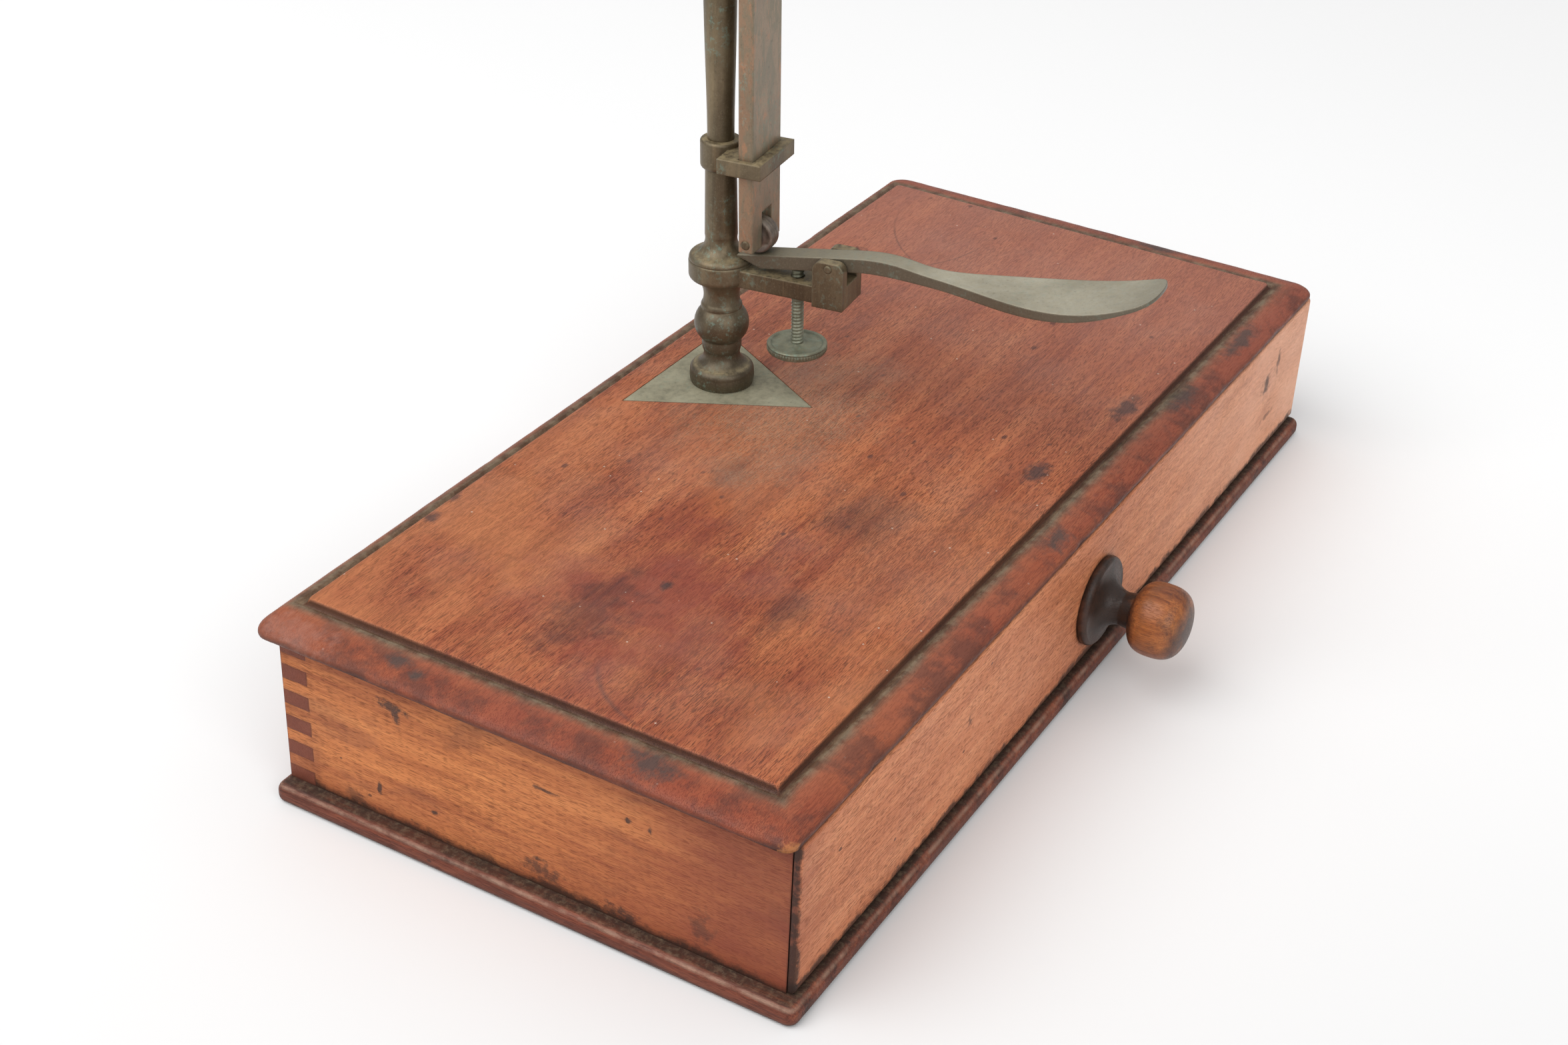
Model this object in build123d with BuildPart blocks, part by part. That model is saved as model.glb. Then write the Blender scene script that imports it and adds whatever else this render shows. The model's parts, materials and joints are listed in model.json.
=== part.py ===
"""Apothecary's beam balance on a mahogany box with a drawer (millimetres, +Z up).

The origin is under the middle of the box, on the underside of the bottom board. +X
runs along the box to its right-hand end, -Y points to the drawer front. The brass stand is
drawn in its own planes, which start where the column's axis leaves the top of
the box. They are turned a few degrees and lean back a little, as the column does.
"""
import math
import os

from build123d import *

os.makedirs("parts", exist_ok=True)

# ---------------------------------------------------------------- the box
case_length = 286.8  # over the outer faces of the side boards
case_depth = 128.2
board = 7.0  # thickness of the side and back boards
bottom_thickness = 4.8
bottom_margin = 4.3  # how far the bottom board stands out at the left and the front
bottom_margin_back = 1.6
bottom_margin_right = 1.0
bottom_corner = 2.4
bottom_arris = 2.0  # rounding of its upper edge
bottom_nose = 1.6  # rounding of its lower edge
case_top = 43.6  # top edge of the side boards

top_left = -147.6
top_right = 145.6
top_front = -66.2
top_back = 68.2
top_edge = 1.0  # upright edge under the moulding
groove_level = 3.7  # height of the groove above the board's underside
top_thickness = 4.7
field_length = 270.0
field_front = -55.5
field_back = 62.8
groove = 1.2  # width of the groove round the raised field
top_left_corner = 3.0  # radius of the two corners at the left end
top_right_corner = 5.5
top_surface = case_top + top_thickness

wood_screw_head = 2.6
wood_screw_shank = 1.2
wood_screw_length = 14.0
wood_screw_slot = 0.6  # width
wood_screw_slot_depth = 0.5
pin_count = 6  # straight pins at each back corner
pin_height = 3.7
pin_pitch = 6.8

# ------------------------------------------------------------- the drawer
drawer_face = -66.0
drawer_lip = 1.6  # part of the front that covers the ends of the side boards
drawer_front_bottom = 5.4
drawer_front_top = 43.0
drawer_gap = 0.4  # at each side
drawer_wall = 5.0
drawer_rise = 0.1  # clearance over the bottom board
drawer_wall_top = 37.0
drawer_back_face = 48.0
drawer_floor = 8.4  # underside of the drawer's bottom panel
drawer_floor_thickness = 2.5
panel_groove = 2.0

knob_height = 20.7
knob_flange = 11.0
knob_neck = 4.2
knob_ball = 9.2
knob_reach = 24.0
knob_tenon = 4.0
knob_tenon_short = 0.6  # how far the tenon ends before the back of the drawer front

# ---------------------------------------------- the brass stand, from the box top
plate_y = 42.2  # middle of the triangular plate
column_y = 41.4
stand_turn = 6.0  # degrees about the column
stand_lean = 1.7  # degrees, to the back
plate_radius = 27.2  # middle of the triangular plate to its corners
plate_thickness = 1.2

stud_radius = 2.0
stud_reach = 14.0  # how far the stud goes up into the base
stud_tail = 0.8  # how far it comes out of the nut
washer_thickness = 1.0
washer_radius = 6.0
nut_width = 7.0
nut_thickness = 3.4
tenon_radius = 2.2
tenon_length = 7.0
socket_depth = 9.0
base_top = 28.7
ring_top = 34.1
ring_radius = 8.2
collar_radius = 5.05
collar_height = 7.5
lower_collar = 57.9  # underside
upper_collar = 187.5
loop_rise = 2.4  # underside of the collar to the underside of the loop
loop_back = -3.5
bore_clearance = 0.03
rivet_stand = 0.3  # how far a riveted pin stands out

arm_width = 8.4
arm_bottom = 28.8
arm_top = 33.2
clevis_width = 11.8
clevis_depth = 8.0
clevis_bottom = 28.7
ear_top = 40.8
ear_thickness = 2.7
ear_radius = 2.2
slot_floor = 34.5
pivot_y = -31.1
pivot_z = 39.2
pin_radius = 1.0

lever_tilt = 9.0  # the inner arm slopes down to the column by this at rest
lever_width = 5.6
lever_half = 1.75  # half the thickness of the inner arm
lever_inner = 25.5
lever_outer = 81.2
paddle_half = 10.2

bar_width = 16.0
bar_thickness = 3.9
bar_y = -10.3
bar_top = 206.0
guide_wall = 1.7  # at the sides
guide_front_wall = 2.7
guide_height = 3.8
guide_clearance = 0.05
roller_radius = 4.5
roller_width = 4.4
roller_slot = 5.5
roller_slot_top = 49.4
roller_gap = 0.05  # between the roller and the lever
roller_pin_radius = 1.1

screw_y = -20.8
screw_radius = 1.65
screw_tip = 35.4
screw_head_top = 15.1
screw_head_thickness = 2.4
screw_head_radius = 7.6

beam_y = -19.1
beam_z = 226.0  # knife edge
beam_thickness = 2.6
beam_arm = 92.0  # knife edge to the eye at each end
beam_end = 1.4  # half the height at the ends
beam_rise = 4.0  # highest point over the knife edge
beam_drop = 7.0  # lowest point under it
knife_radius = 1.5  # of the knife's round middle
knife_rise = 0.4  # its axis above the edge
knife_half = 0.8
knife_height = 1.7
knife_play = 0.4  # along the axis
pointer_length = 32.0
pointer_radius = 1.1
pointer_taper = 1.6  # degrees
eye_radius = 3.0
eye_hole = 1.3
cheek = 2.4
cheek_half_width = 5.0
carrier_bottom = 196.0
carrier_floor = 207.0
carrier_rise = 6.0  # of its cheeks over the knife edge
rivet_low = 199.0
rivet_high = 204.0
rivet_radius = 1.2
bearing_radius = 1.6
hook_radius = 3.2
hook_wire = 0.7
hook_drop = 0.2  # the wire's centre below the middle of the eye

# ------------------------------------------------------------ derived places
case_x = case_length / 2
case_y = case_depth / 2
inner_x = case_x - board
turn = math.radians(stand_turn)
lean = math.radians(stand_lean)
# the foot of the stand, level on the box
foot = Plane(
    origin=(0, column_y, top_surface),
    x_dir=(math.cos(turn), math.sin(turn), 0),
    z_dir=(0, 0, 1),
)
# the stand itself, which leans
stand = Plane(
    origin=foot.origin,
    x_dir=foot.x_dir,
    z_dir=foot.z_dir * math.cos(lean) + foot.y_dir * math.sin(lean),
)
# side views of the stand: x is its own backward direction, y is up
side = Plane(origin=stand.origin, x_dir=stand.y_dir, z_dir=stand.x_dir)
# front views of the stand: x is its own right, y is up
front = Plane(origin=stand.origin, x_dir=stand.x_dir, z_dir=-stand.y_dir)
column_axis = Axis(stand.origin, stand.z_dir)

tilt = math.radians(lever_tilt)
lever_reach = bar_y - pivot_y  # pivot to the bar's centre line
roller_z = pivot_z + roller_gap - lever_reach * math.tan(tilt)
roller_z += (lever_half + roller_radius) / math.cos(tilt)
bar_bottom = roller_z - bar_thickness / 2


def save(piece, name):
    """Label a finished piece and write it to its file."""
    piece.label = name
    export_step(piece, f"parts/{name}.step")


# ================================================================== the box
side_height = case_top - bottom_thickness
first_pin = bottom_thickness + pin_height / 2
pin_places = [(case_y - board / 2, first_pin + pin_pitch * i) for i in range(pin_count)]
screw_places = [(x, y) for x in (-inner_x - board / 2, inner_x + board / 2) for y in (-45, 0, 45)]


def corner_pins(mode=Mode.ADD):
    """Sketch the square pins of a back corner as seen from the side."""
    with Locations(*pin_places):
        Rectangle(board, pin_height, mode=mode)


def side_board(start):
    """A side board that begins at an X position, cut for the pins and the screws."""
    with BuildPart() as panel:
        with BuildSketch(Plane.YZ.offset(start)):
            with Locations((0, bottom_thickness)):
                Rectangle(case_depth, side_height, align=(Align.CENTER, Align.MIN))
            corner_pins(mode=Mode.SUBTRACT)
        extrude(amount=board)
        with BuildSketch(Plane.XY.offset(bottom_thickness)):
            with Locations(*screw_places):
                Circle(wood_screw_shank)
        extrude(amount=wood_screw_length, mode=Mode.SUBTRACT)
    return panel.part


save(side_board(-case_x), "left_side")
save(side_board(inner_x), "right_side")

with BuildPart() as back_board:
    with BuildSketch(Plane.YZ.offset(-case_x)):
        corner_pins()
    extrude(amount=case_length)
    with BuildSketch(Plane.XY.offset(bottom_thickness)):
        with Locations((0, case_y - board / 2)):
            Rectangle(2 * inner_x, board)
    extrude(amount=side_height)
save(back_board.part, "back_board")

with BuildPart() as bottom_board:
    with BuildSketch() as bottom_outline:
        with Locations((-case_x - bottom_margin, -case_y - bottom_margin)):
            Rectangle(
                case_length + bottom_margin + bottom_margin_right,
                case_depth + bottom_margin + bottom_margin_back,
                align=Align.MIN,
            )
        fillet(bottom_outline.vertices(), radius=bottom_corner)
    extrude(amount=bottom_thickness)
    fillet(bottom_board.edges().group_by(Axis.Z)[-1], radius=bottom_arris)
    fillet(bottom_board.edges().group_by(Axis.Z)[0], radius=bottom_nose)
    with BuildSketch():
        with Locations(*screw_places):
            Circle(wood_screw_head)
    extrude(amount=wood_screw_head - wood_screw_shank, taper=45, mode=Mode.SUBTRACT)
    with BuildSketch():
        with Locations(*screw_places):
            Circle(wood_screw_shank)
    extrude(amount=bottom_thickness, mode=Mode.SUBTRACT)
save(bottom_board.part, "bottom_board")

head_sink = 0.1  # how far the screw heads sit below the rest face
head_radius = wood_screw_head - head_sink
with BuildPart() as bottom_screws:
    with BuildSketch(Plane.XY.offset(head_sink)):
        with Locations(*screw_places):
            Circle(head_radius)
    extrude(amount=head_radius - wood_screw_shank, taper=45)
    with BuildSketch(Plane.XY.offset(head_radius - wood_screw_shank)):
        with Locations(*screw_places):
            Circle(wood_screw_shank)
    extrude(amount=wood_screw_length)
    with BuildSketch(Plane.XY.offset(head_sink)):
        with Locations(*screw_places):
            Rectangle(2 * wood_screw_head, wood_screw_slot)
    extrude(amount=wood_screw_slot_depth, mode=Mode.SUBTRACT)
save(bottom_screws.part, "bottom_screws")

# The top board is the overlap of a profile seen from the front, a profile seen
# from the side and the rounded outline seen from above, with the raised field on it.
top_length = top_right - top_left
top_depth = top_back - top_front
left_moulding = -field_length / 2 - top_left - groove
right_moulding = top_right - field_length / 2 - groove
front_moulding = field_front - top_front - groove
back_moulding = top_back - field_back - groove


def moulded_profile(low, high, low_width, high_width):
    """Upright edge, convex moulding and the level of the groove, between two ends."""
    rise = groove_level - top_edge
    shoulder = case_top + top_edge
    with BuildLine() as outline:
        Polyline((low, shoulder), (low, case_top), (high, case_top), (high, shoulder))
        EllipticalCenterArc((high - high_width, shoulder), high_width, rise, 0, arc_size=90)
        Line((high - high_width, shoulder + rise), (low + low_width, shoulder + rise))
        EllipticalCenterArc((low + low_width, shoulder), low_width, rise, 90, arc_size=90)
    return outline.edges()


with BuildPart() as top_board:
    with BuildSketch(Plane.XZ.offset(-top_back)):
        make_face(moulded_profile(top_left, top_right, left_moulding, right_moulding))
    extrude(amount=top_depth)
    with BuildSketch(Plane.YZ.offset(top_left)):
        make_face(moulded_profile(top_front, top_back, front_moulding, back_moulding))
    extrude(amount=top_length, mode=Mode.INTERSECT)
    with BuildSketch(Plane.XY.offset(case_top)) as top_outline:
        with Locations((top_left, top_front)):
            Rectangle(top_length, top_depth, align=Align.MIN)
        fillet(top_outline.vertices().group_by(Axis.X)[0], radius=top_left_corner)
        fillet(top_outline.vertices().group_by(Axis.X)[-1], radius=top_right_corner)
    extrude(amount=top_thickness, mode=Mode.INTERSECT)
    with BuildSketch(Plane.XY.offset(case_top)):
        with Locations((0, (field_front + field_back) / 2)):
            Rectangle(field_length, field_back - field_front)
    extrude(amount=top_thickness)
    fillet(top_board.edges().group_by(Axis.Z)[-1], radius=0.4)
    with BuildSketch(Plane.XY.offset(top_surface - plate_thickness)):
        with Locations((0, plate_y)):
            RegularPolygon(plate_radius, 3, rotation=-90)
    extrude(amount=plate_thickness, mode=Mode.SUBTRACT)
    with BuildSketch(Plane.XY.offset(case_top)):
        with Locations((0, column_y)):
            Circle(stud_radius)
    extrude(amount=top_thickness, mode=Mode.SUBTRACT)
save(top_board.part, "top_board")

# ================================================================ the drawer
drawer_half = inner_x - drawer_gap
drawer_front_start = drawer_face + drawer_lip  # back of the lip
drawer_front_back = drawer_front_start + board
drawer_inner = drawer_half - drawer_wall
drawer_side_bottom = bottom_thickness + drawer_rise
panel_half = drawer_inner + panel_groove
front_height = drawer_front_top - drawer_front_bottom

with BuildPart() as drawer_front:
    with BuildSketch(Plane.XZ.offset(-drawer_front_start)):
        with Locations((0, drawer_front_bottom)):
            Rectangle(case_length, front_height, align=(Align.CENTER, Align.MIN))
    extrude(amount=drawer_lip)
    fillet(drawer_front.edges().group_by(Axis.Y)[0], radius=1.0)
    with BuildSketch(Plane.XZ.offset(-drawer_front_start)):
        with Locations((0, drawer_front_bottom)):
            Rectangle(2 * drawer_half, front_height, align=(Align.CENTER, Align.MIN))
    extrude(amount=-board)
    with BuildSketch(Plane.XY.offset(drawer_floor)):
        with Locations((0, drawer_front_back)):
            Rectangle(2 * panel_half, 2 * panel_groove)
    extrude(amount=drawer_floor_thickness, mode=Mode.SUBTRACT)
    with BuildSketch(Plane.XZ.offset(-drawer_front_back)):
        with Locations((0, knob_height)):
            Circle(knob_tenon)
    extrude(amount=board + drawer_lip, mode=Mode.SUBTRACT)
save(drawer_front.part, "drawer_front")


def drawer_side(start, groove_face):
    """A drawer side that begins at an X position, grooved for the bottom panel."""
    length = drawer_back_face - drawer_front_back
    with BuildPart() as panel:
        with BuildSketch(Plane.YZ.offset(start)):
            with Locations((drawer_front_back, drawer_side_bottom)):
                Rectangle(length, drawer_wall_top - drawer_side_bottom, align=Align.MIN)
        extrude(amount=drawer_wall)
        with BuildSketch(Plane.XY.offset(drawer_floor)):
            with Locations((groove_face, drawer_front_back + length / 2)):
                Rectangle(2 * panel_groove, length)
        extrude(amount=drawer_floor_thickness, mode=Mode.SUBTRACT)
    return panel.part


save(drawer_side(-drawer_half, -drawer_inner), "drawer_left_side")
save(drawer_side(drawer_inner, drawer_inner), "drawer_right_side")

with BuildPart() as drawer_back:
    with BuildSketch(Plane.XZ.offset(-drawer_back_face)):
        with Locations((0, drawer_floor + drawer_floor_thickness)):
            Rectangle(
                2 * drawer_inner,
                drawer_wall_top - drawer_floor - drawer_floor_thickness,
                align=(Align.CENTER, Align.MIN),
            )
    extrude(amount=drawer_wall)
save(drawer_back.part, "drawer_back")

with BuildPart() as drawer_bottom:
    with BuildSketch(Plane.XY.offset(drawer_floor)):
        with Locations((0, drawer_front_back - panel_groove)):
            Rectangle(
                2 * panel_half,
                drawer_back_face - drawer_front_back + panel_groove,
                align=(Align.CENTER, Align.MIN),
            )
    extrude(amount=drawer_floor_thickness)
save(drawer_bottom.part, "drawer_bottom")

# The knob's profile: x is the radius, y the distance out from the drawer front.
knob_plane = Plane(origin=(0, drawer_face, knob_height), x_dir=(1, 0, 0), z_dir=(0, 0, -1))
tenon_end = knob_tenon_short - board - drawer_lip
with BuildPart() as drawer_knob:
    with BuildSketch(knob_plane):
        with BuildLine():
            Polyline((0, tenon_end), (knob_tenon, tenon_end), (knob_tenon, 0), (knob_flange, 0))
            ThreePointArc((knob_flange, 0), (knob_flange + 0.4, 1.2), (knob_flange - 0.6, 2.4))
            ThreePointArc((knob_flange - 0.6, 2.4), (knob_neck + 1.4, 4.2), (knob_neck, 7.4))
            Line((knob_neck, 7.4), (knob_neck + 0.4, 10.2))
            Spline(
                (knob_neck + 0.4, 10.2),
                (knob_ball, 16.4),
                (0, knob_reach),
                tangents=((1, 0.2), (-1, 0)),
            )
            Line((0, knob_reach), (0, tenon_end))
        make_face()
    revolve(axis=Axis(knob_plane.origin, (0, 1, 0)))
save(drawer_knob.part, "drawer_knob")

# ================================================================ the column
with BuildPart() as foot_plate:
    with BuildSketch(Plane.XY.offset(top_surface - plate_thickness)):
        with Locations((0, plate_y)):
            RegularPolygon(plate_radius, 3, rotation=-90)
        with Locations((0, column_y)):
            Circle(stud_radius, mode=Mode.SUBTRACT)
    extrude(amount=plate_thickness)
save(foot_plate.part, "foot_plate")

foot_trim = 1.0  # drawn below the box top, then cut off level
with BuildPart() as column_base:
    with BuildSketch(front):
        with BuildLine():
            Polyline((0, -foot_trim), (7.9, -foot_trim), (7.9, 0))
            ThreePointArc((7.9, 0), (8.15, 1.0), (8.1, 3.0))
            ThreePointArc((8.1, 3.0), (7.7, 4.4), (6.6, 5.0))
            ThreePointArc((6.6, 5.0), (5.1, 6.3), (4.6, 8.6))
            ThreePointArc((4.6, 8.6), (5.0, 10.2), (4.9, 12.0))
            ThreePointArc((4.9, 12.0), (6.9, 16.1), (5.1, 20.6))
            ThreePointArc((5.1, 20.6), (5.2, 21.4), (4.8, 22.2))
            ThreePointArc((4.8, 22.2), (4.5, 24.6), (6.2, base_top))
            Polyline(
                (6.2, base_top),
                (tenon_radius, base_top),
                (tenon_radius, base_top - socket_depth),
                (0, base_top - socket_depth),
                (0, -foot_trim),
            )
        make_face()
    revolve(axis=column_axis)
    split(bisect_by=foot, keep=Keep.TOP)
    with BuildSketch(foot):
        Circle(stud_radius)
    extrude(amount=stud_reach, mode=Mode.SUBTRACT)
save(column_base.part, "column_base")

stud_bottom = -top_thickness - washer_thickness - nut_thickness - stud_tail
with BuildPart() as column_stud:
    with BuildSketch(foot.offset(stud_bottom)):
        Circle(stud_radius)
    extrude(amount=stud_reach - stud_bottom)
    chamfer(column_stud.edges().group_by(Axis.Z)[0], length=0.4)
save(column_stud.part, "column_stud")

with BuildPart() as stud_washer:
    with BuildSketch(foot.offset(-top_thickness - washer_thickness)):
        Circle(washer_radius)
        Circle(stud_radius, mode=Mode.SUBTRACT)
    extrude(amount=washer_thickness)
save(stud_washer.part, "stud_washer")

with BuildPart() as stud_nut:
    with BuildSketch(foot.offset(-top_thickness - washer_thickness - nut_thickness)):
        RegularPolygon(nut_width / 2, 6, major_radius=False)
        Circle(stud_radius, mode=Mode.SUBTRACT)
    extrude(amount=nut_thickness)
save(stud_nut.part, "stud_nut")

# The bracket: a ring on the base, the arm to the front and the clevis at its end.
clevis_back = pivot_y + clevis_depth / 2
clevis_left = -clevis_width / 2
slot_left = clevis_left + ear_thickness

with BuildPart() as arm_bracket:
    with BuildSketch(stand.offset(base_top)):
        Circle(ring_radius)
    extrude(amount=ring_top - base_top)
    fillet(arm_bracket.edges().group_by(column_axis)[0], radius=1.4)
    with BuildSketch(stand.offset(arm_bottom)):
        with Locations((0, clevis_back)):
            Rectangle(arm_width, -clevis_back, align=(Align.CENTER, Align.MIN))
    extrude(amount=arm_top - arm_bottom)
    with BuildSketch(stand.offset(clevis_bottom)):
        with Locations((0, pivot_y)):
            Rectangle(clevis_width, clevis_depth)
    extrude(amount=slot_floor - clevis_bottom)
    for ear_start in (clevis_left, -slot_left):
        with BuildSketch(side.offset(ear_start)) as ear:
            with Locations((pivot_y, clevis_bottom)):
                Rectangle(clevis_depth, ear_top - clevis_bottom, align=(Align.CENTER, Align.MIN))
            fillet(ear.vertices().group_by(Axis.Y)[-1], radius=ear_radius)
        extrude(amount=ear_thickness)
    cheeks = arm_bracket.edges().group_by(Axis(stand.origin, stand.x_dir))
    fillet(cheeks[0] + cheeks[-1], radius=0.6)
    with BuildSketch(side.offset(clevis_left)):
        with Locations((pivot_y, pivot_z)):
            Circle(pin_radius)
    extrude(amount=clevis_width, mode=Mode.SUBTRACT)
    with BuildSketch(stand.offset(base_top)):
        with Locations((0, screw_y)):
            Circle(screw_radius + bore_clearance)
        Circle(tenon_radius)
    extrude(amount=ring_top - base_top, mode=Mode.SUBTRACT)
save(arm_bracket.part, "arm_bracket")

with BuildPart() as pivot_pin:
    with BuildSketch(side.offset(-clevis_width / 2 - rivet_stand)):
        with Locations((pivot_y, pivot_z)):
            Circle(pin_radius)
    extrude(amount=clevis_width + 2 * rivet_stand)
    fillet(pivot_pin.edges().filter_by(GeomType.CIRCLE), radius=rivet_stand)
save(pivot_pin.part, "pivot_pin")


with BuildPart() as lower_shaft:
    with BuildSketch(front):
        with BuildLine():
            Polyline(
                (0, base_top - tenon_length),
                (tenon_radius, base_top - tenon_length),
                (tenon_radius, ring_top),
                (8.1, ring_top),
            )
            ThreePointArc((8.1, ring_top), (7.9, 34.9), (7.1, 35.5))
            ThreePointArc((7.1, 35.5), (4.8, 37.0), (4.1, 40.4))
            Polyline(
                (4.1, 40.4),
                (3.9, lower_collar),
                (tenon_radius, lower_collar),
                (tenon_radius, lower_collar - socket_depth),
                (0, lower_collar - socket_depth),
                (0, base_top - tenon_length),
            )
        make_face()
    revolve(axis=column_axis)
save(lower_shaft.part, "lower_shaft")


def bar_guide(bottom):
    """Collar on the column with the rectangular loop that the lifting bar slides in."""
    loop_bottom = bottom + loop_rise
    window_width = bar_width + 2 * guide_clearance
    window_depth = bar_thickness + 2 * guide_clearance
    loop_front = bar_y - window_depth / 2 - guide_front_wall
    with BuildPart() as guide:
        with BuildSketch(stand.offset(bottom)):
            Circle(collar_radius)
        extrude(amount=collar_height)
        fillet(guide.edges().group_by(column_axis)[0], radius=1.2)
        fillet(guide.edges().group_by(column_axis)[-1], radius=0.7)
        with BuildSketch(stand.offset(loop_bottom)):
            with Locations((0, loop_front)):
                Rectangle(
                    window_width + 2 * guide_wall,
                    loop_back - loop_front,
                    align=(Align.CENTER, Align.MIN),
                )
        extrude(amount=guide_height)
        with BuildSketch(stand.offset(loop_bottom)):
            with Locations((0, bar_y)):
                Rectangle(window_width, window_depth)
        extrude(amount=guide_height, mode=Mode.SUBTRACT)
        with BuildSketch(stand.offset(bottom)):
            Circle(tenon_radius)
        extrude(amount=collar_height, mode=Mode.SUBTRACT)
    return guide.part


save(bar_guide(lower_collar), "lower_guide")
save(bar_guide(upper_collar), "upper_guide")

shaft_start = lower_collar + collar_height
with BuildPart() as upper_shaft:
    with BuildSketch(front):
        with BuildLine():
            Polyline(
                (0, lower_collar - tenon_length),
                (tenon_radius, lower_collar - tenon_length),
                (tenon_radius, shaft_start),
                (3.3, shaft_start),
            )
            Spline(
                (3.3, shaft_start),
                (3.62, 83.0),
                (4.15, 110.0),
                (3.4, upper_collar),
                tangents=((0, 1), (-0.015, 1)),
            )
            Polyline(
                (3.4, upper_collar),
                (tenon_radius, upper_collar),
                (tenon_radius, upper_collar - socket_depth),
                (0, upper_collar - socket_depth),
                (0, lower_collar - tenon_length),
            )
        make_face()
    revolve(axis=column_axis)
save(upper_shaft.part, "upper_shaft")

finial_start = upper_collar + collar_height
cove_z = finial_start + 2.4
bead_z = finial_start + 6.2
vase_z = finial_start + 14.0
button_z = finial_start + 24.4
button_radius = 2.6
with BuildPart() as finial:
    with BuildSketch(front):
        with BuildLine():
            Polyline(
                (0, upper_collar - tenon_length),
                (tenon_radius, upper_collar - tenon_length),
                (tenon_radius, finial_start),
                (4.6, finial_start),
            )
            ThreePointArc((4.6, finial_start), (3.4, cove_z), (3.0, bead_z - 1.2))
            ThreePointArc((3.0, bead_z - 1.2), (4.4, bead_z), (3.0, bead_z + 1.2))
            button = CenterArc((0, button_z), button_radius, -40, 130)
            ThreePointArc((3.0, bead_z + 1.2), (6.0, vase_z), button @ 0)
            Line(button @ 1, (0, upper_collar - tenon_length))
        make_face()
    revolve(axis=column_axis)
save(finial.part, "finial")

# ================================================================= the lever
# In the lever's side view x runs down the inner arm to the column, y is square to
# it, and the pivot is the origin; in its top view y is the width.
pivot = side.from_local_coords((pivot_y, pivot_z, 0))
arm_direction = side.x_dir * math.cos(tilt) - side.y_dir * math.sin(tilt)
lever_side = Plane(origin=pivot, x_dir=arm_direction, z_dir=side.z_dir)
lever_above = Plane(origin=pivot, x_dir=arm_direction, z_dir=lever_side.y_dir)

with BuildPart() as lift_lever:
    with BuildSketch(lever_side.offset(-paddle_half - 1)):
        with BuildLine():
            Polyline(
                (-5, lever_half),
                (lever_inner, lever_half),
                (lever_inner, lever_half - 0.4),
                (lever_inner - 6, -lever_half),
                (-5, -lever_half),
            )
            Spline(
                (-5, -lever_half),
                (-23, -4.4),
                (-38, -7.0),
                (-63, -8.5),
                (-lever_outer, -4.4),
                tangents=((-1, 0), (-1, 0.35)),
            )
            Line((-lever_outer, -4.4), (-lever_outer, -3.5))
            Spline(
                (-lever_outer, -3.5),
                (-63, -6.6),
                (-38, -4.4),
                (-23, -1.6),
                (-5, lever_half),
                tangents=((1, -0.35), (1, 0)),
            )
        make_face()
    extrude(amount=2 * paddle_half + 2)
    with BuildSketch(lever_above.offset(-paddle_half)):
        with BuildLine():
            Line((lever_inner, lever_width / 2), (-14, lever_width / 2))
            Spline(
                (-14, lever_width / 2),
                (-27, 3.0),
                (-40, 6.2),
                (-62, paddle_half),
                (-75, 8.9),
                (-lever_outer, 0),
                tangents=((-1, 0), (0, -1)),
            )
            mirror(about=Plane.XZ)
            Line((lever_inner, -lever_width / 2), (lever_inner, lever_width / 2))
        make_face()
    extrude(amount=2 * paddle_half, mode=Mode.INTERSECT)
    with BuildSketch(lever_side.offset(-lever_width)):
        Circle(pin_radius + bore_clearance)
    extrude(amount=2 * lever_width, mode=Mode.SUBTRACT)
save(lift_lever.part, "lift_lever")

# ============================================================ the lifting bar
bar_front = bar_y - bar_thickness / 2
with BuildPart() as lift_bar:
    with BuildSketch(stand.offset(bar_bottom)):
        with Locations((0, bar_y)):
            Rectangle(bar_width, bar_thickness)
    extrude(amount=bar_top - bar_bottom)
    fillet(lift_bar.edges().filter_by(column_axis), radius=0.5)
    with BuildSketch(front.offset(-bar_y - bar_thickness)):
        with Locations((0, bar_bottom)):
            Rectangle(roller_slot, roller_slot_top - bar_bottom, align=(Align.CENTER, Align.MIN))
        with Locations((0, rivet_low), (0, rivet_high)):
            Circle(rivet_radius)
    extrude(amount=2 * bar_thickness, mode=Mode.SUBTRACT)
    with BuildSketch(side.offset(-bar_width / 2)):
        with Locations((bar_y, roller_z)):
            Circle(roller_pin_radius)
    extrude(amount=bar_width, mode=Mode.SUBTRACT)
save(lift_bar.part, "lift_bar")

with BuildPart() as roller_pin:
    with BuildSketch(side.offset(-bar_width / 2 - rivet_stand)):
        with Locations((bar_y, roller_z)):
            Circle(roller_pin_radius)
    extrude(amount=bar_width + 2 * rivet_stand)
    fillet(roller_pin.edges().filter_by(GeomType.CIRCLE), radius=rivet_stand)
save(roller_pin.part, "roller_pin")

with BuildPart() as lever_roller:
    with BuildSketch(side.offset(-roller_width / 2)):
        with Locations((bar_y, roller_z)):
            Circle(roller_radius)
            Circle(roller_pin_radius + bore_clearance, mode=Mode.SUBTRACT)
    extrude(amount=roller_width)
    chamfer(lever_roller.edges().filter_by(GeomType.CIRCLE).group_by(SortBy.RADIUS)[-1], length=0.4)
save(lever_roller.part, "lever_roller")

# ============================================================= the stop screw
with BuildPart() as stop_screw:
    with BuildSketch(stand.offset(screw_head_top - screw_head_thickness)):
        with Locations((0, screw_y)):
            Circle(screw_radius)
    extrude(amount=screw_tip - screw_head_top + screw_head_thickness)
    fillet(stop_screw.edges().group_by(column_axis)[-1], radius=1.2)
save(stop_screw.part, "stop_screw")

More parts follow.
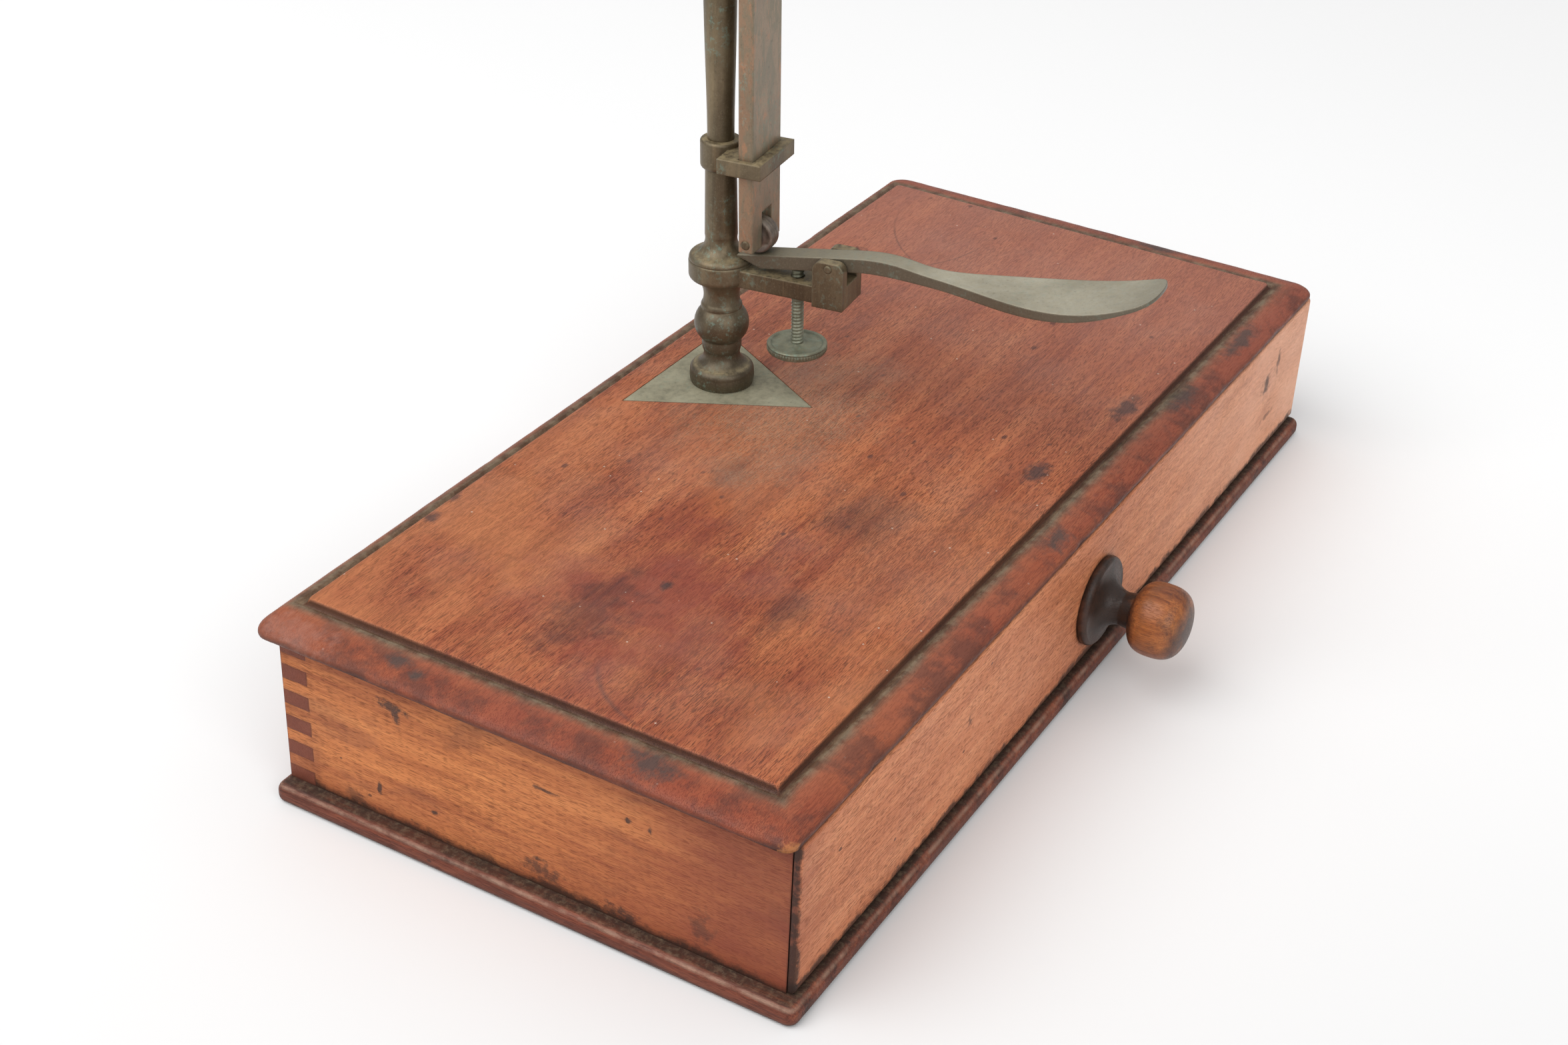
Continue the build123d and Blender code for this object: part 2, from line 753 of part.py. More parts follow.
with BuildPart() as stop_screw_head:
    with BuildSketch(stand.offset(screw_head_top - screw_head_thickness)):
        with Locations((0, screw_y)):
            Circle(screw_head_radius)
    extrude(amount=screw_head_thickness)
    fillet(stop_screw_head.edges().filter_by(GeomType.CIRCLE), radius=0.7)
    with BuildSketch(stand.offset(screw_head_top - 0.3)):
        with Locations((0, screw_y)):
            Circle(screw_head_radius - 1.2)
    extrude(amount=0.3, mode=Mode.SUBTRACT)
    with BuildSketch(stand.offset(screw_head_top - screw_head_thickness)):
        with Locations((0, screw_y)):
            Circle(screw_radius + bore_clearance)
    extrude(amount=screw_head_thickness, mode=Mode.SUBTRACT)
save(stop_screw_head.part, "stop_screw_head")

# ======================================================= the carrier and beam
carrier_back = bar_front
carrier_front = 2 * beam_y - carrier_back
carrier_top = beam_z + carrier_rise

with BuildPart() as beam_carrier:
    with BuildSketch(side.offset(-cheek_half_width)):
        with BuildLine():
            Polyline(
                (carrier_back, carrier_bottom),
                (carrier_back, carrier_top),
                (carrier_back - cheek, carrier_top),
                (carrier_back - cheek, carrier_floor + cheek),
                (carrier_front + cheek, carrier_floor + cheek),
                (carrier_front + cheek, carrier_top),
                (carrier_front, carrier_top),
                (carrier_front, carrier_floor),
                (carrier_back - cheek, carrier_floor),
                (carrier_back - cheek, carrier_bottom),
                close=True,
            )
        make_face()
    extrude(amount=2 * cheek_half_width)
    with BuildSketch(front.offset(-carrier_back)) as cheek_outline:
        with Locations((0, carrier_bottom)):
            Rectangle(
                2 * cheek_half_width,
                carrier_top - carrier_bottom,
                align=(Align.CENTER, Align.MIN),
            )
        fillet(cheek_outline.vertices().group_by(Axis.Y)[-1], radius=cheek_half_width - 0.4)
    extrude(amount=carrier_back - carrier_front, mode=Mode.INTERSECT)
    with BuildSketch(front.offset(-carrier_back)):
        with Locations((0, rivet_low), (0, rivet_high)):
            Circle(rivet_radius)
        with Locations((0, beam_z + bearing_radius - 0.05)):
            Circle(bearing_radius)
    extrude(amount=carrier_back - carrier_front, mode=Mode.SUBTRACT)
save(beam_carrier.part, "beam_carrier")

with BuildPart() as carrier_rivets:
    with BuildSketch(front.offset(-bar_front + cheek + rivet_stand)):
        with Locations((0, rivet_low), (0, rivet_high)):
            Circle(rivet_radius)
    extrude(amount=-cheek - bar_thickness - 2 * rivet_stand)
    fillet(carrier_rivets.edges().filter_by(GeomType.CIRCLE), radius=rivet_stand)
save(carrier_rivets.part, "carrier_rivets")

beam_front_plane = front.offset(-beam_y - beam_thickness / 2)

with BuildPart() as beam:
    with BuildSketch(beam_front_plane):
        with BuildLine():
            Spline(
                (-beam_arm, beam_z + beam_end),
                (0, beam_z + beam_rise),
                (beam_arm, beam_z + beam_end),
            )
            Line((beam_arm, beam_z + beam_end), (beam_arm, beam_z - beam_end))
            Spline(
                (beam_arm, beam_z - beam_end),
                (0, beam_z - beam_drop),
                (-beam_arm, beam_z - beam_end),
            )
            Line((-beam_arm, beam_z - beam_end), (-beam_arm, beam_z + beam_end))
        make_face()
        with Locations((-beam_arm, beam_z), (beam_arm, beam_z)):
            Circle(eye_radius)
            Circle(eye_hole, mode=Mode.SUBTRACT)
        with Locations((0, beam_z + knife_rise)):
            Circle(knife_radius, mode=Mode.SUBTRACT)
    extrude(amount=beam_thickness)
save(beam.part, "beam")

knife_length = carrier_back - carrier_front - knife_play
with BuildPart() as beam_knife:
    with BuildSketch(beam_front_plane):
        with Locations((0, beam_z + knife_rise)):
            Circle(knife_radius)
    extrude(amount=beam_thickness)
    with BuildSketch(front.offset(-beam_y - knife_length / 2)):
        with BuildLine():
            Polyline(
                (0, beam_z),
                (knife_half, beam_z + knife_height),
                (-knife_half, beam_z + knife_height),
                close=True,
            )
        make_face()
    extrude(amount=knife_length)
save(beam_knife.part, "beam_knife")

with BuildPart() as pointer:
    with BuildSketch(stand.offset(beam_z + beam_rise)):
        with Locations((0, beam_y)):
            Circle(pointer_radius)
    extrude(amount=pointer_length, taper=pointer_taper)
save(pointer.part, "pointer")


def end_hook(x):
    """An S hook of wire that hangs in the eye at one end of the beam."""
    wire_z = beam_z - hook_drop
    with BuildPart() as hook:
        with BuildLine(side.offset(x)) as path:
            CenterArc((beam_y, wire_z - hook_radius), hook_radius, -90, 300)
            CenterArc((beam_y, wire_z - 3 * hook_radius), hook_radius, 90, 220)
        wire = path.wires()[0]
        with BuildSketch(Plane(origin=wire @ 0, z_dir=wire % 0)):
            Circle(hook_wire)
        sweep(path=wire)
    return hook.part


save(end_hook(-beam_arm), "left_hook")
save(end_hook(beam_arm), "right_hook")
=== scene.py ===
"""Looks of the apothecary's balance: finishes, worked-up pieces, studio and camera."""

import json
import math

import bmesh
import bpy
from mathutils import Matrix, Vector, noise


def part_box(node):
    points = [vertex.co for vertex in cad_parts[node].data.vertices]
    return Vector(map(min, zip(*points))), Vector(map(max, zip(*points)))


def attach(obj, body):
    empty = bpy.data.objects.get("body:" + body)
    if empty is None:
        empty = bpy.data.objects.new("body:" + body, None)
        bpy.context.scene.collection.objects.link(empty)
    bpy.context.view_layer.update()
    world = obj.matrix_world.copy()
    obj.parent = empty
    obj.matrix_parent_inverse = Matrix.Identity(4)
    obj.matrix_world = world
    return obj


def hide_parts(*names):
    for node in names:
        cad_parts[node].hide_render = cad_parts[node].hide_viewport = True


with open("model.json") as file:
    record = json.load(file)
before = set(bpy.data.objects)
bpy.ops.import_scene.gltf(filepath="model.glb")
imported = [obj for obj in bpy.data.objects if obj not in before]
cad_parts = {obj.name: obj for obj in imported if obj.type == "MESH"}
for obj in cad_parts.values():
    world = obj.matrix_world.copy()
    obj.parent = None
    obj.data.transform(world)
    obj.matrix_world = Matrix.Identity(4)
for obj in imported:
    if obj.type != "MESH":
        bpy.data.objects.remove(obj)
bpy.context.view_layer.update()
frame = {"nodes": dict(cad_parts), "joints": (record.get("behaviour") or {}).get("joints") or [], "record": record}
joints = {joint["name"]: joint for joint in frame["joints"]}

MM = 0.001
MM_PER_M = 1000.0
FIELD_HALF_LENGTH = 135.0  # of the raised field on the top board, in mm
FIELD_FRONT = -55.5
FIELD_BACK = 62.8
GROOVE = 1.9  # width of the worn groove round the field
GROOVE_DEPTH = 1.3
THREAD_PITCH = 0.9
THREAD_DEPTH = 0.3
SHARP_ANGLE = 35.0  # edges turned by more than this stay sharp, in degrees


# ---------------------------------------------------------------- materials
class Paint:
    """A material being put together; most calls add a few nodes and return an output."""

    def __init__(self, name):
        self.material = bpy.data.materials.new(name)
        self.material.use_nodes = True
        self.tree = self.material.node_tree
        self.shader = self.tree.nodes["Principled BSDF"]
        place = self.tree.nodes.new("ShaderNodeTexCoord")
        self.place = place.outputs["Object"]
        shape = self.tree.nodes.new("ShaderNodeNewGeometry")
        self.normal = shape.outputs["Normal"]

    def node(self, kind, inputs=(), **settings):
        """Add a node; inputs maps a socket's name or number to a value or an output."""
        made = self.tree.nodes.new(kind)
        for name, value in settings.items():
            setattr(made, name, value)
        for key, value in dict(inputs).items():
            if isinstance(value, bpy.types.NodeSocket):
                self.tree.links.new(value, made.inputs[key])
            else:
                made.inputs[key].default_value = value
        return made

    def at(self, stretch=(1, 1, 1), shift=(0, 0, 0)):
        """Place in millimetres, divided by a stretch along each axis and then shifted."""
        scale = [MM_PER_M / s for s in stretch]
        mapped = self.node("ShaderNodeMapping", {"Vector": self.place, "Scale": scale, "Location": shift})
        return mapped.outputs[0]

    def noise(self, vector, detail=4.0, rough=0.5, warp=0.0):
        made = self.node(
            "ShaderNodeTexNoise",
            {"Vector": vector, "Scale": 1.0, "Detail": detail, "Roughness": rough, "Distortion": warp},
        )
        return made.outputs["Fac"]

    def cells(self, vector):
        """Distance to the nearest of many scattered points, one in each unit cube."""
        made = self.node("ShaderNodeTexVoronoi", {"Vector": vector, "Scale": 1.0})
        return made.outputs["Distance"]

    def span(self, value, low, high, to_low=0.0, to_high=1.0):
        """Map a stretch of values to another, held at its ends."""
        made = self.node(
            "ShaderNodeMapRange",
            {"Value": value, "From Min": low, "From Max": high, "To Min": to_low, "To Max": to_high},
        )
        return made.outputs["Result"]

    def calc(self, operation, a, b=0.0):
        return self.node("ShaderNodeMath", {0: a, 1: b}, operation=operation).outputs[0]

    def ramp(self, value, *stops):
        made = self.node("ShaderNodeValToRGB", {"Fac": value})
        points = made.color_ramp.elements
        while len(points) < len(stops):
            points.new(0.5)
        for point, (position, colour) in zip(points, stops):
            point.position = position
            point.color = (*colour, 1.0)
        return made.outputs["Color"]

    def mix(self, amount, a, b):
        """Blend colour a towards colour b."""
        a = (*a, 1.0) if isinstance(a, tuple) else a
        b = (*b, 1.0) if isinstance(b, tuple) else b
        # a colour mix has its factor, two colours and result at sockets 0, 6, 7 and 2
        made = self.node("ShaderNodeMix", {0: amount, 6: a, 7: b}, data_type="RGBA")
        return made.outputs[2]

    def edges(self, radius):
        """1 on sharp outer and inner edges, 0 on the flat."""
        soft = self.node("ShaderNodeBevel", {"Radius": radius * MM}, samples=4)
        meet = self.node(
            "ShaderNodeVectorMath", {0: soft.outputs[0], 1: self.normal}, operation="DOT_PRODUCT",
        )
        bend = self.calc("SUBTRACT", 1.0, meet.outputs["Value"])
        return self.span(bend, 0.02, 0.25)

    def nooks(self, reach):
        """1 in corners and crevices, 0 in the open."""
        shade = self.node("ShaderNodeAmbientOcclusion", {"Distance": reach * MM}, samples=8)
        return self.calc("SUBTRACT", 1.0, shade.outputs["AO"])

    def field_distance(self):
        """How far a place lies outside the top board's raised field, in mm."""
        parts = self.node("ShaderNodeSeparateXYZ", {0: self.at()})
        middle = (FIELD_FRONT + FIELD_BACK) / 2
        across = self.calc("ABSOLUTE", self.calc("SUBTRACT", parts.outputs["Y"], middle))
        beyond_side = self.calc("SUBTRACT", across, FIELD_BACK - middle)
        beyond_end = self.calc("SUBTRACT", self.calc("ABSOLUTE", parts.outputs["X"]), FIELD_HALF_LENGTH)
        return self.calc("MAXIMUM", beyond_side, beyond_end)

    def patch(self, middle, size, ragged=0.35, grain=6.0):
        """1 inside a soft, ragged oval at a place in mm, 0 outside it."""
        shift = [-m / s for m, s in zip(middle, size)]
        away = self.node("ShaderNodeVectorMath", {0: self.at(size, shift=shift)}, operation="LENGTH")
        broken = self.noise(self.at((grain, grain, grain)), detail=5.0, rough=0.65)
        reach = self.calc("ADD", away.outputs["Value"], self.span(broken, 0.25, 0.75, -ragged, ragged))
        return self.span(reach, 1.0, 0.35)

    def both(self, a, b):
        return self.calc("MULTIPLY", a, b)

    def upward(self, low=0.6, high=0.95):
        """1 on faces that look up."""
        parts = self.node("ShaderNodeSeparateXYZ", {0: self.normal})
        return self.span(parts.outputs["Z"], low, high)

    def coordinate(self, axis):
        """A coordinate of the place in millimetres."""
        return self.node("ShaderNodeSeparateXYZ", {0: self.at()}).outputs[axis]

    def facing(self, axis, low=0.5, high=0.9):
        """1 on faces square to an axis, whichever way they look."""
        parts = self.node("ShaderNodeSeparateXYZ", {0: self.normal})
        return self.span(self.calc("ABSOLUTE", parts.outputs[axis]), low, high)

    def bump(self, height, depth, before):
        """Relief of a depth in millimetres, over an earlier normal."""
        inputs = {"Height": height, "Distance": depth * MM, "Strength": 1.0, "Normal": before}
        return self.node("ShaderNodeBump", inputs).outputs[0]

    def rounded(self, radius):
        """Normal with its sharp edges rounded."""
        return self.node("ShaderNodeBevel", {"Radius": radius * MM}, samples=4).outputs[0]

    def finish(self, colour, roughness, normal=None, **fixed):
        """Wire up the shader; fixed values go straight on its sockets."""
        links = {"Base Color": colour, "Roughness": roughness, "Normal": normal}
        for name, socket in links.items():
            if isinstance(socket, bpy.types.NodeSocket):
                self.tree.links.new(socket, self.shader.inputs[name])
            elif socket is not None:
                self.shader.inputs[name].default_value = socket
        for name, value in fixed.items():
            self.shader.inputs[name.replace("_", " ")].default_value = value
        return self.material


def start_wood(name, tones, grain_axis, seed, pores_deep=0.75):
    """Colour of old mahogany: slow bands, streaks, fibres and short dark pores along the grain.

    Returns the paint, its colour, and the fibres and pores for the relief.
    """
    p = Paint(name)
    light, mid, dark = tones
    along = "XYZ".index(grain_axis)

    def grain(length, width, shift=0.0):
        stretch = [width, width, width]
        stretch[along] = length
        return p.at(stretch, shift=(seed + shift, seed * 1.7, seed * 0.6 + shift))

    bands = p.noise(grain(80, 7), detail=3.0, warp=0.35)
    streaks = p.noise(grain(26, 1.3, 4.0), detail=3.0, rough=0.6)
    fibres = p.noise(grain(6, 0.3, 9.0), detail=2.0, rough=0.6)
    tone = p.calc("ADD", p.both(bands, 0.42), p.both(streaks, 0.36))
    tone = p.calc("ADD", tone, p.both(fibres, 0.22))
    colour = p.ramp(tone, (0.37, dark), (0.50, mid), (0.63, light))

    crowd = p.noise(p.at((30, 30, 30), shift=(seed, 3, 5)), detail=2.0)
    long_ticks = p.noise(grain(3.0, 0.21, 17.0), detail=1.0, rough=0.4)
    short_ticks = p.noise(grain(1.7, 0.15, 29.0), detail=0.0)
    long_pores = p.span(p.calc("SUBTRACT", long_ticks, p.span(crowd, 0.35, 0.7, 0.635, 0.585)), 0.0, 0.03)
    short_pores = p.span(p.calc("SUBTRACT", short_ticks, p.span(crowd, 0.35, 0.7, 0.66, 0.60)), 0.0, 0.04)
    pores = p.calc("MAXIMUM", long_pores, p.both(short_pores, 0.75))
    colour = p.mix(p.both(pores, pores_deep), colour, (0.060, 0.018, 0.012))
    return p, colour, fibres, pores


def finish_wood(p, colour, fibres, pores, seed, pore_depth, rough=(0.36, 0.55), sheen=0.25):
    """Add the polish and the relief of the pores and of a worn surface."""
    polish = p.noise(p.at((28, 28, 28), shift=(seed, 5, 5)), detail=5.0, rough=0.6)
    roughness = p.calc("ADD", p.span(polish, 0.3, 0.7, *rough), p.both(pores, 0.2))
    relief = p.calc("SUBTRACT", p.both(fibres, 0.15), pores)
    normal = p.bump(relief, pore_depth, p.rounded(0.5))
    normal = p.bump(p.noise(p.at((9, 9, 9), shift=(seed, 2, 2)), detail=4.0), 0.2, normal)
    return p.finish(colour, roughness, normal, IOR=1.45, Specular_IOR_Level=sheen)


def top_mahogany():
    """The top board: red-brown, stained, dusty round the brass and black in the groove."""
    seed = 3.0
    tones = ((0.45, 0.152, 0.064), (0.335, 0.094, 0.040), (0.200, 0.046, 0.023))
    p, colour, fibres, pores = start_wood("top_mahogany_worn", tones, "X", seed, 0.75)
    streaks = p.noise(p.at((30, 1.1, 3), shift=(seed, 2, 6)), detail=3.0, rough=0.6)
    place_x = p.coordinate("X")
    place_y = p.coordinate("Y")

    # orange where it has faded, towards the left end
    faded = p.noise(p.at((55, 40, 50), shift=(4, 2, 0)), detail=4.0, rough=0.6)
    faded = p.both(p.span(faded, 0.42, 0.62), p.span(place_x, 20, -110))
    colour = p.mix(p.both(faded, 0.5), colour, (0.53, 0.205, 0.082))
    # greyer and pinker towards the right end
    dull = p.both(p.span(place_x, 0, 110), 0.55)
    colour = p.mix(dull, colour, (0.37, 0.160, 0.118))

    # the large dark red stain, its black heart, a faint shadow beside it, and smaller blots
    stain = p.patch((-94, 0, 48), (42, 30, 60), ragged=0.5, grain=20.0)
    colour = p.mix(p.both(stain, 0.72), colour, (0.205, 0.042, 0.032))
    heart = p.patch((-104, 8, 48), (22, 11, 60), ragged=0.75, grain=8.0)
    heart = p.both(heart, p.span(streaks, 0.35, 0.6, 1.0, 0.6))
    colour = p.mix(p.both(heart, 0.70), colour, (0.065, 0.026, 0.024))
    shadow = p.patch((-60, -30, 48), (38, 22, 50), ragged=0.5, grain=20.0)
    colour = p.mix(p.both(shadow, 0.25), colour, (0.20, 0.055, 0.038))
    blots = (
        ((-38, -22, 48), (17, 12, 60), 0.42, 9.0),
        ((-38, 15, 48), (9, 6, 60), 0.35, 6.0),
        ((3, -46, 48), (7, 3.6, 50), 0.85, 2.0),
        ((45, -51, 48), (9, 3.4, 50), 0.80, 2.5),
        ((86, 50, 48), (4, 3, 50), 0.75, 2.0),
        ((-94, 61, 48), (3, 2.2, 50), 0.8, 2.0),
        ((-84, 62, 48), (3, 1.6, 50), 0.7, 1.6),
        ((-88, 1, 48), (2.6, 1.6, 50), 0.9, 1.4),
        ((-82, -26, 48), (11, 6, 50), 0.45, 6.0),
    )
    for middle, size, strength, grain in blots:
        blot = p.patch(middle, size, ragged=0.45, grain=grain)
        colour = p.mix(p.both(blot, strength), colour, (0.060, 0.034, 0.032))
    freckles = p.cells(p.at((15, 10, 15), shift=(seed, 0.4, 2)))
    ragged = p.noise(p.at((2.5, 2.5, 2.5)), detail=4.0)
    spots = p.span(p.calc("ADD", freckles, p.both(ragged, 0.12)), 0.145, 0.105)
    colour = p.mix(p.both(spots, 0.7), colour, (0.075, 0.032, 0.028))

    # arcs scratched into the polish: centre, radius, width, and the middle and size of where each shows
    arcs = (
        ((-108, -26), 26.0, 0.9, (-130, -12, 48), (16, 20, 60)),
        ((128, 8), 46.0, 0.5, (100, 42, 48), (24, 16, 60)),
        ((112, 60), 38.0, 0.4, (96, 26, 48), (24, 12, 60)),
    )
    for middle, radius, width, kept, size in arcs:
        away = p.node(
            "ShaderNodeVectorMath",
            {0: p.node("ShaderNodeCombineXYZ", {0: place_x, 1: place_y}).outputs[0], 1: (*middle, 0)},
            operation="DISTANCE",
        )
        ring = p.calc("ABSOLUTE", p.calc("SUBTRACT", away.outputs["Value"], radius))
        wobble = p.noise(p.at((4, 4, 4), shift=(radius, 0, 0)), detail=3.0)
        part = p.patch(kept, size, ragged=0.3, grain=8.0)
        line = p.span(p.calc("ADD", ring, p.both(wobble, 0.6)), width + 0.3, 0.3)
        colour = p.mix(p.both(p.both(line, part), 0.55), colour, (0.09, 0.045, 0.038))

    # dust: a haze round the brass plate, specks, and a veil in patches
    haze = p.patch((-6, 18, 48), (42, 26, 60), ragged=0.5, grain=16.0)
    grains = p.span(p.noise(p.at((0.45, 0.45, 0.45), shift=(seed, 4, 4)), detail=2.0), 0.42, 0.62, 0.35, 1.0)
    colour = p.mix(p.both(p.both(haze, grains), 0.38), colour, (0.36, 0.28, 0.19))
    veil = p.span(p.noise(p.at((40, 40, 40), shift=(1, seed, 0)), detail=6.0, rough=0.65), 0.45, 0.75)
    colour = p.mix(p.both(p.both(veil, p.upward()), 0.15), colour, (0.43, 0.31, 0.26))
    speck = p.span(p.cells(p.at((6, 6, 6), shift=(seed, 9, 3))), 0.05, 0.03)
    colour = p.mix(p.both(speck, 0.6), colour, (0.66, 0.54, 0.44))

    # moulding: darker and redder, black along its worn lower edge, orange on the crest, smeared,
    # pale in one place, and with an orange chip at the near corner
    out = p.field_distance()
    moulding = p.span(out, 1.6, 2.4)
    colour = p.mix(p.both(moulding, 0.68), colour, (0.225, 0.048, 0.026))
    mottled = p.span(p.noise(p.at((11, 11, 6), shift=(seed, 3, 9)), detail=6.0, rough=0.7), 0.46, 0.60)
    colour = p.mix(p.both(p.both(mottled, moulding), 0.6), colour, (0.075, 0.032, 0.026))
    crest = p.both(p.both(p.span(out, 1.9, 3.2), p.span(out, 7.0, 3.4)), p.span(veil, 0.0, 1.0, 0.22, 0.06))
    colour = p.mix(crest, colour, (0.46, 0.190, 0.105))
    rim = p.noise(p.at((20, 20, 5), shift=(seed, 6, 1)), detail=6.0, rough=0.65)
    low_edge = p.calc("ADD", p.coordinate("Z"), p.span(rim, 0.3, 0.7, -0.9, 0.9))
    worn = p.both(p.span(low_edge, 45.8, 44.2), moulding)
    black = p.both(worn, p.span(rim, 0.40, 0.56, 0.55, 0.92))
    colour = p.mix(black, colour, (0.060, 0.024, 0.018))
    smears = (
        ((-141, 33, 46), (3, 4, 9)), ((-143, 27, 46), (2, 2.4, 9)), ((-141, -30, 45), (5, 8, 9)),
        ((60, -60, 46), (9, 4, 9)), ((100, -61, 46), (14, 3, 9)), ((-20, -62, 44), (7, 4, 9)),
        ((141, -20, 46), (4, 9, 9)),
    )
    for middle, size in smears:
        smear = p.patch(middle, size, ragged=0.5, grain=3.0)
        colour = p.mix(p.both(smear, 0.85), colour, (0.070, 0.050, 0.044))
    pale = p.patch((-144, 58, 44), (5, 13, 9), ragged=0.6, grain=3.0)
    colour = p.mix(p.both(pale, 0.15), colour, (0.50, 0.33, 0.28))
    chip = p.patch((-146, -65, 44.2), (2.6, 2.6, 1.6), ragged=0.6, grain=1.2)
    colour = p.mix(p.both(chip, 0.75), colour, (0.52, 0.200, 0.070))

    # the groove: a black line next to the field, then a band of dust that spills outwards in places
    spill = p.span(p.noise(p.at((14, 14, 14), shift=(2, 2, seed)), detail=5.0, rough=0.6), 0.3, 0.7, 0.0, 1.3)
    inner_side = p.span(out, -0.3, 0.1)
    outer_side = p.span(p.calc("SUBTRACT", out, spill), 3.7, 1.5)
    trench = p.both(inner_side, outer_side)
    fluff = p.span(p.noise(p.at((4, 4, 4), shift=(8, 1, seed)), detail=5.0, rough=0.7), 0.42, 0.60)
    dust = p.mix(fluff, (0.070, 0.050, 0.032), (0.170, 0.138, 0.090))
    dirt = p.mix(p.span(out, 0.45, 1.1), (0.034, 0.019, 0.014), dust)
    colour = p.mix(p.both(trench, 0.85), colour, dirt)
    return finish_wood(p, colour, fibres, pores, seed, 0.035)


def case_wood(
    name, tones, grain_axis, seed, ends=(), marks=(), soot=(), edge_colour=(0.10, 0.035, 0.022), edge=0.7,
    blotch=0.4, end_grain=0.8, pore_depth=0.05, pores_deep=0.5, rough=(0.38, 0.56), ledge=0.0,
):
    """A board of the case: darker in its corners with painted shade, dented, marked, and other colours towards its
    ends.

    ends holds (axis, start, full, colour, strength), marks holds (middle, size, strength) and soot holds
    (axis, start, full), where start and full are the places at which a colour begins and is complete.
    """
    p, colour, fibres, pores = start_wood(name, tones, grain_axis, seed, pores_deep)
    for axis, start, full, shade, strength in ends:
        fade = p.span(p.coordinate(axis), start, full)
        uneven = p.span(p.noise(p.at((22, 22, 12), shift=(seed, 8, 4)), detail=5.0), 0.3, 0.7, 0.55, 1.0)
        colour = p.mix(p.both(p.both(fade, uneven), strength), colour, shade)
    clouds = p.noise(p.at((26, 22, 14), shift=(seed + 2, 7, 1)), detail=5.0, rough=0.62, warp=0.6)
    colour = p.mix(p.both(p.span(clouds, 0.55, 0.70), blotch), colour, (0.15, 0.050, 0.030))
    colour = p.mix(p.both(p.facing(grain_axis), end_grain), colour, (0.150, 0.042, 0.026))
    for middle, size, strength in marks:
        mark = p.patch(middle, size, ragged=0.8, grain=2.0)
        colour = p.mix(p.both(mark, strength), colour, (0.055, 0.030, 0.024))
    dents = p.cells(p.at((11, 11, 7), shift=(seed, 1.4, 2)))
    ragged = p.noise(p.at((2, 2, 2)), detail=4.0)
    nick = p.span(p.calc("ADD", dents, p.both(ragged, 0.12)), 0.125, 0.10)
    colour = p.mix(p.both(nick, 0.75), colour, (0.060, 0.028, 0.022))
    worn = p.span(p.noise(p.at((7, 7, 7), shift=(seed, 1, 1)), detail=5.0, rough=0.7), 0.40, 0.60)
    colour = p.mix(p.both(p.both(p.edges(0.9), worn), edge), colour, edge_colour)
    for axis, start, full in soot:
        black = p.span(p.calc("ADD", p.coordinate(axis), p.span(worn, 0.0, 1.0, -0.8, 0.8)), start, full)
        colour = p.mix(p.both(black, 0.85), colour, (0.030, 0.018, 0.014))
    # painted shade: darker in corners and crevices, from ambient occlusion
    painted_nook_shade = p.span(p.nooks(6.0), 0.22, 0.75)
    colour = p.mix(p.both(painted_nook_shade, 0.88), colour, (0.040, 0.022, 0.016))
    if ledge:
        # dark grime with dust, partly painted shade, on the upper face, and a pale line where it turns down, a
        # painted highlight broken like rubbed wear
        fluff = p.span(p.noise(p.at((1.6, 1.6, 1.6), shift=(seed, 2, 4)), detail=4.0, rough=0.7), 0.46, 0.64)
        dust = p.mix(fluff, (0.040, 0.027, 0.020), (0.120, 0.090, 0.060))
        flat = p.both(p.upward(0.90, 0.99), p.span(worn, 0.0, 1.0, 0.65, 1.0))
        colour = p.mix(p.both(flat, ledge), colour, dust)
        # painted highlight: a pale line on the arris where the upper face turns down
        turned = p.both(p.upward(0.45, 0.70), p.span(p.upward(0.70, 0.97), 0.9, 0.3))
        line = p.both(turned, p.span(worn, 0.0, 1.0, 0.9, 0.15))
        colour = p.mix(p.both(line, 0.6), colour, (0.40, 0.265, 0.190))
    return finish_wood(p, colour, fibres, pores, seed, pore_depth, rough)


def knob_wood():
    """The knob: black-brown flange and neck, an orange-brown ball with a worn black patch."""
    tones = ((0.44, 0.155, 0.045), (0.28, 0.088, 0.028), (0.13, 0.036, 0.015))
    p, colour, fibres, pores = start_wood("knob_wood_worn", tones, "Y", 61.0, 0.4)
    out = p.calc("MULTIPLY", p.coordinate("Y"), -1.0)
    blend = p.noise(p.at((5, 5, 5), shift=(6, 1, 1)), detail=5.0, rough=0.65)
    reach = p.calc("ADD", out, p.span(blend, 0.3, 0.7, -1.6, 1.6))
    dark = p.span(reach, 79.5, 76.0)
    colour = p.mix(p.both(dark, 0.95), colour, (0.018, 0.014, 0.012))
    flange = p.both(p.span(reach, 69.5, 68.0), p.span(blend, 0.42, 0.58))
    colour = p.mix(p.both(flange, 0.5), colour, (0.12, 0.050, 0.030))
    patch = p.patch((1, -89, 18), (12, 8.5, 12), ragged=0.4, grain=4.0)
    colour = p.mix(p.both(patch, 0.88), colour, (0.040, 0.030, 0.028))
    ring = p.both(p.span(reach, 79.0, 80.5), p.span(reach, 82.5, 81.0))
    colour = p.mix(p.both(ring, 0.4), colour, (0.16, 0.060, 0.024))
    return finish_wood(p, colour, fibres, pores, 61.0, 0.04, (0.24, 0.42), 0.4)


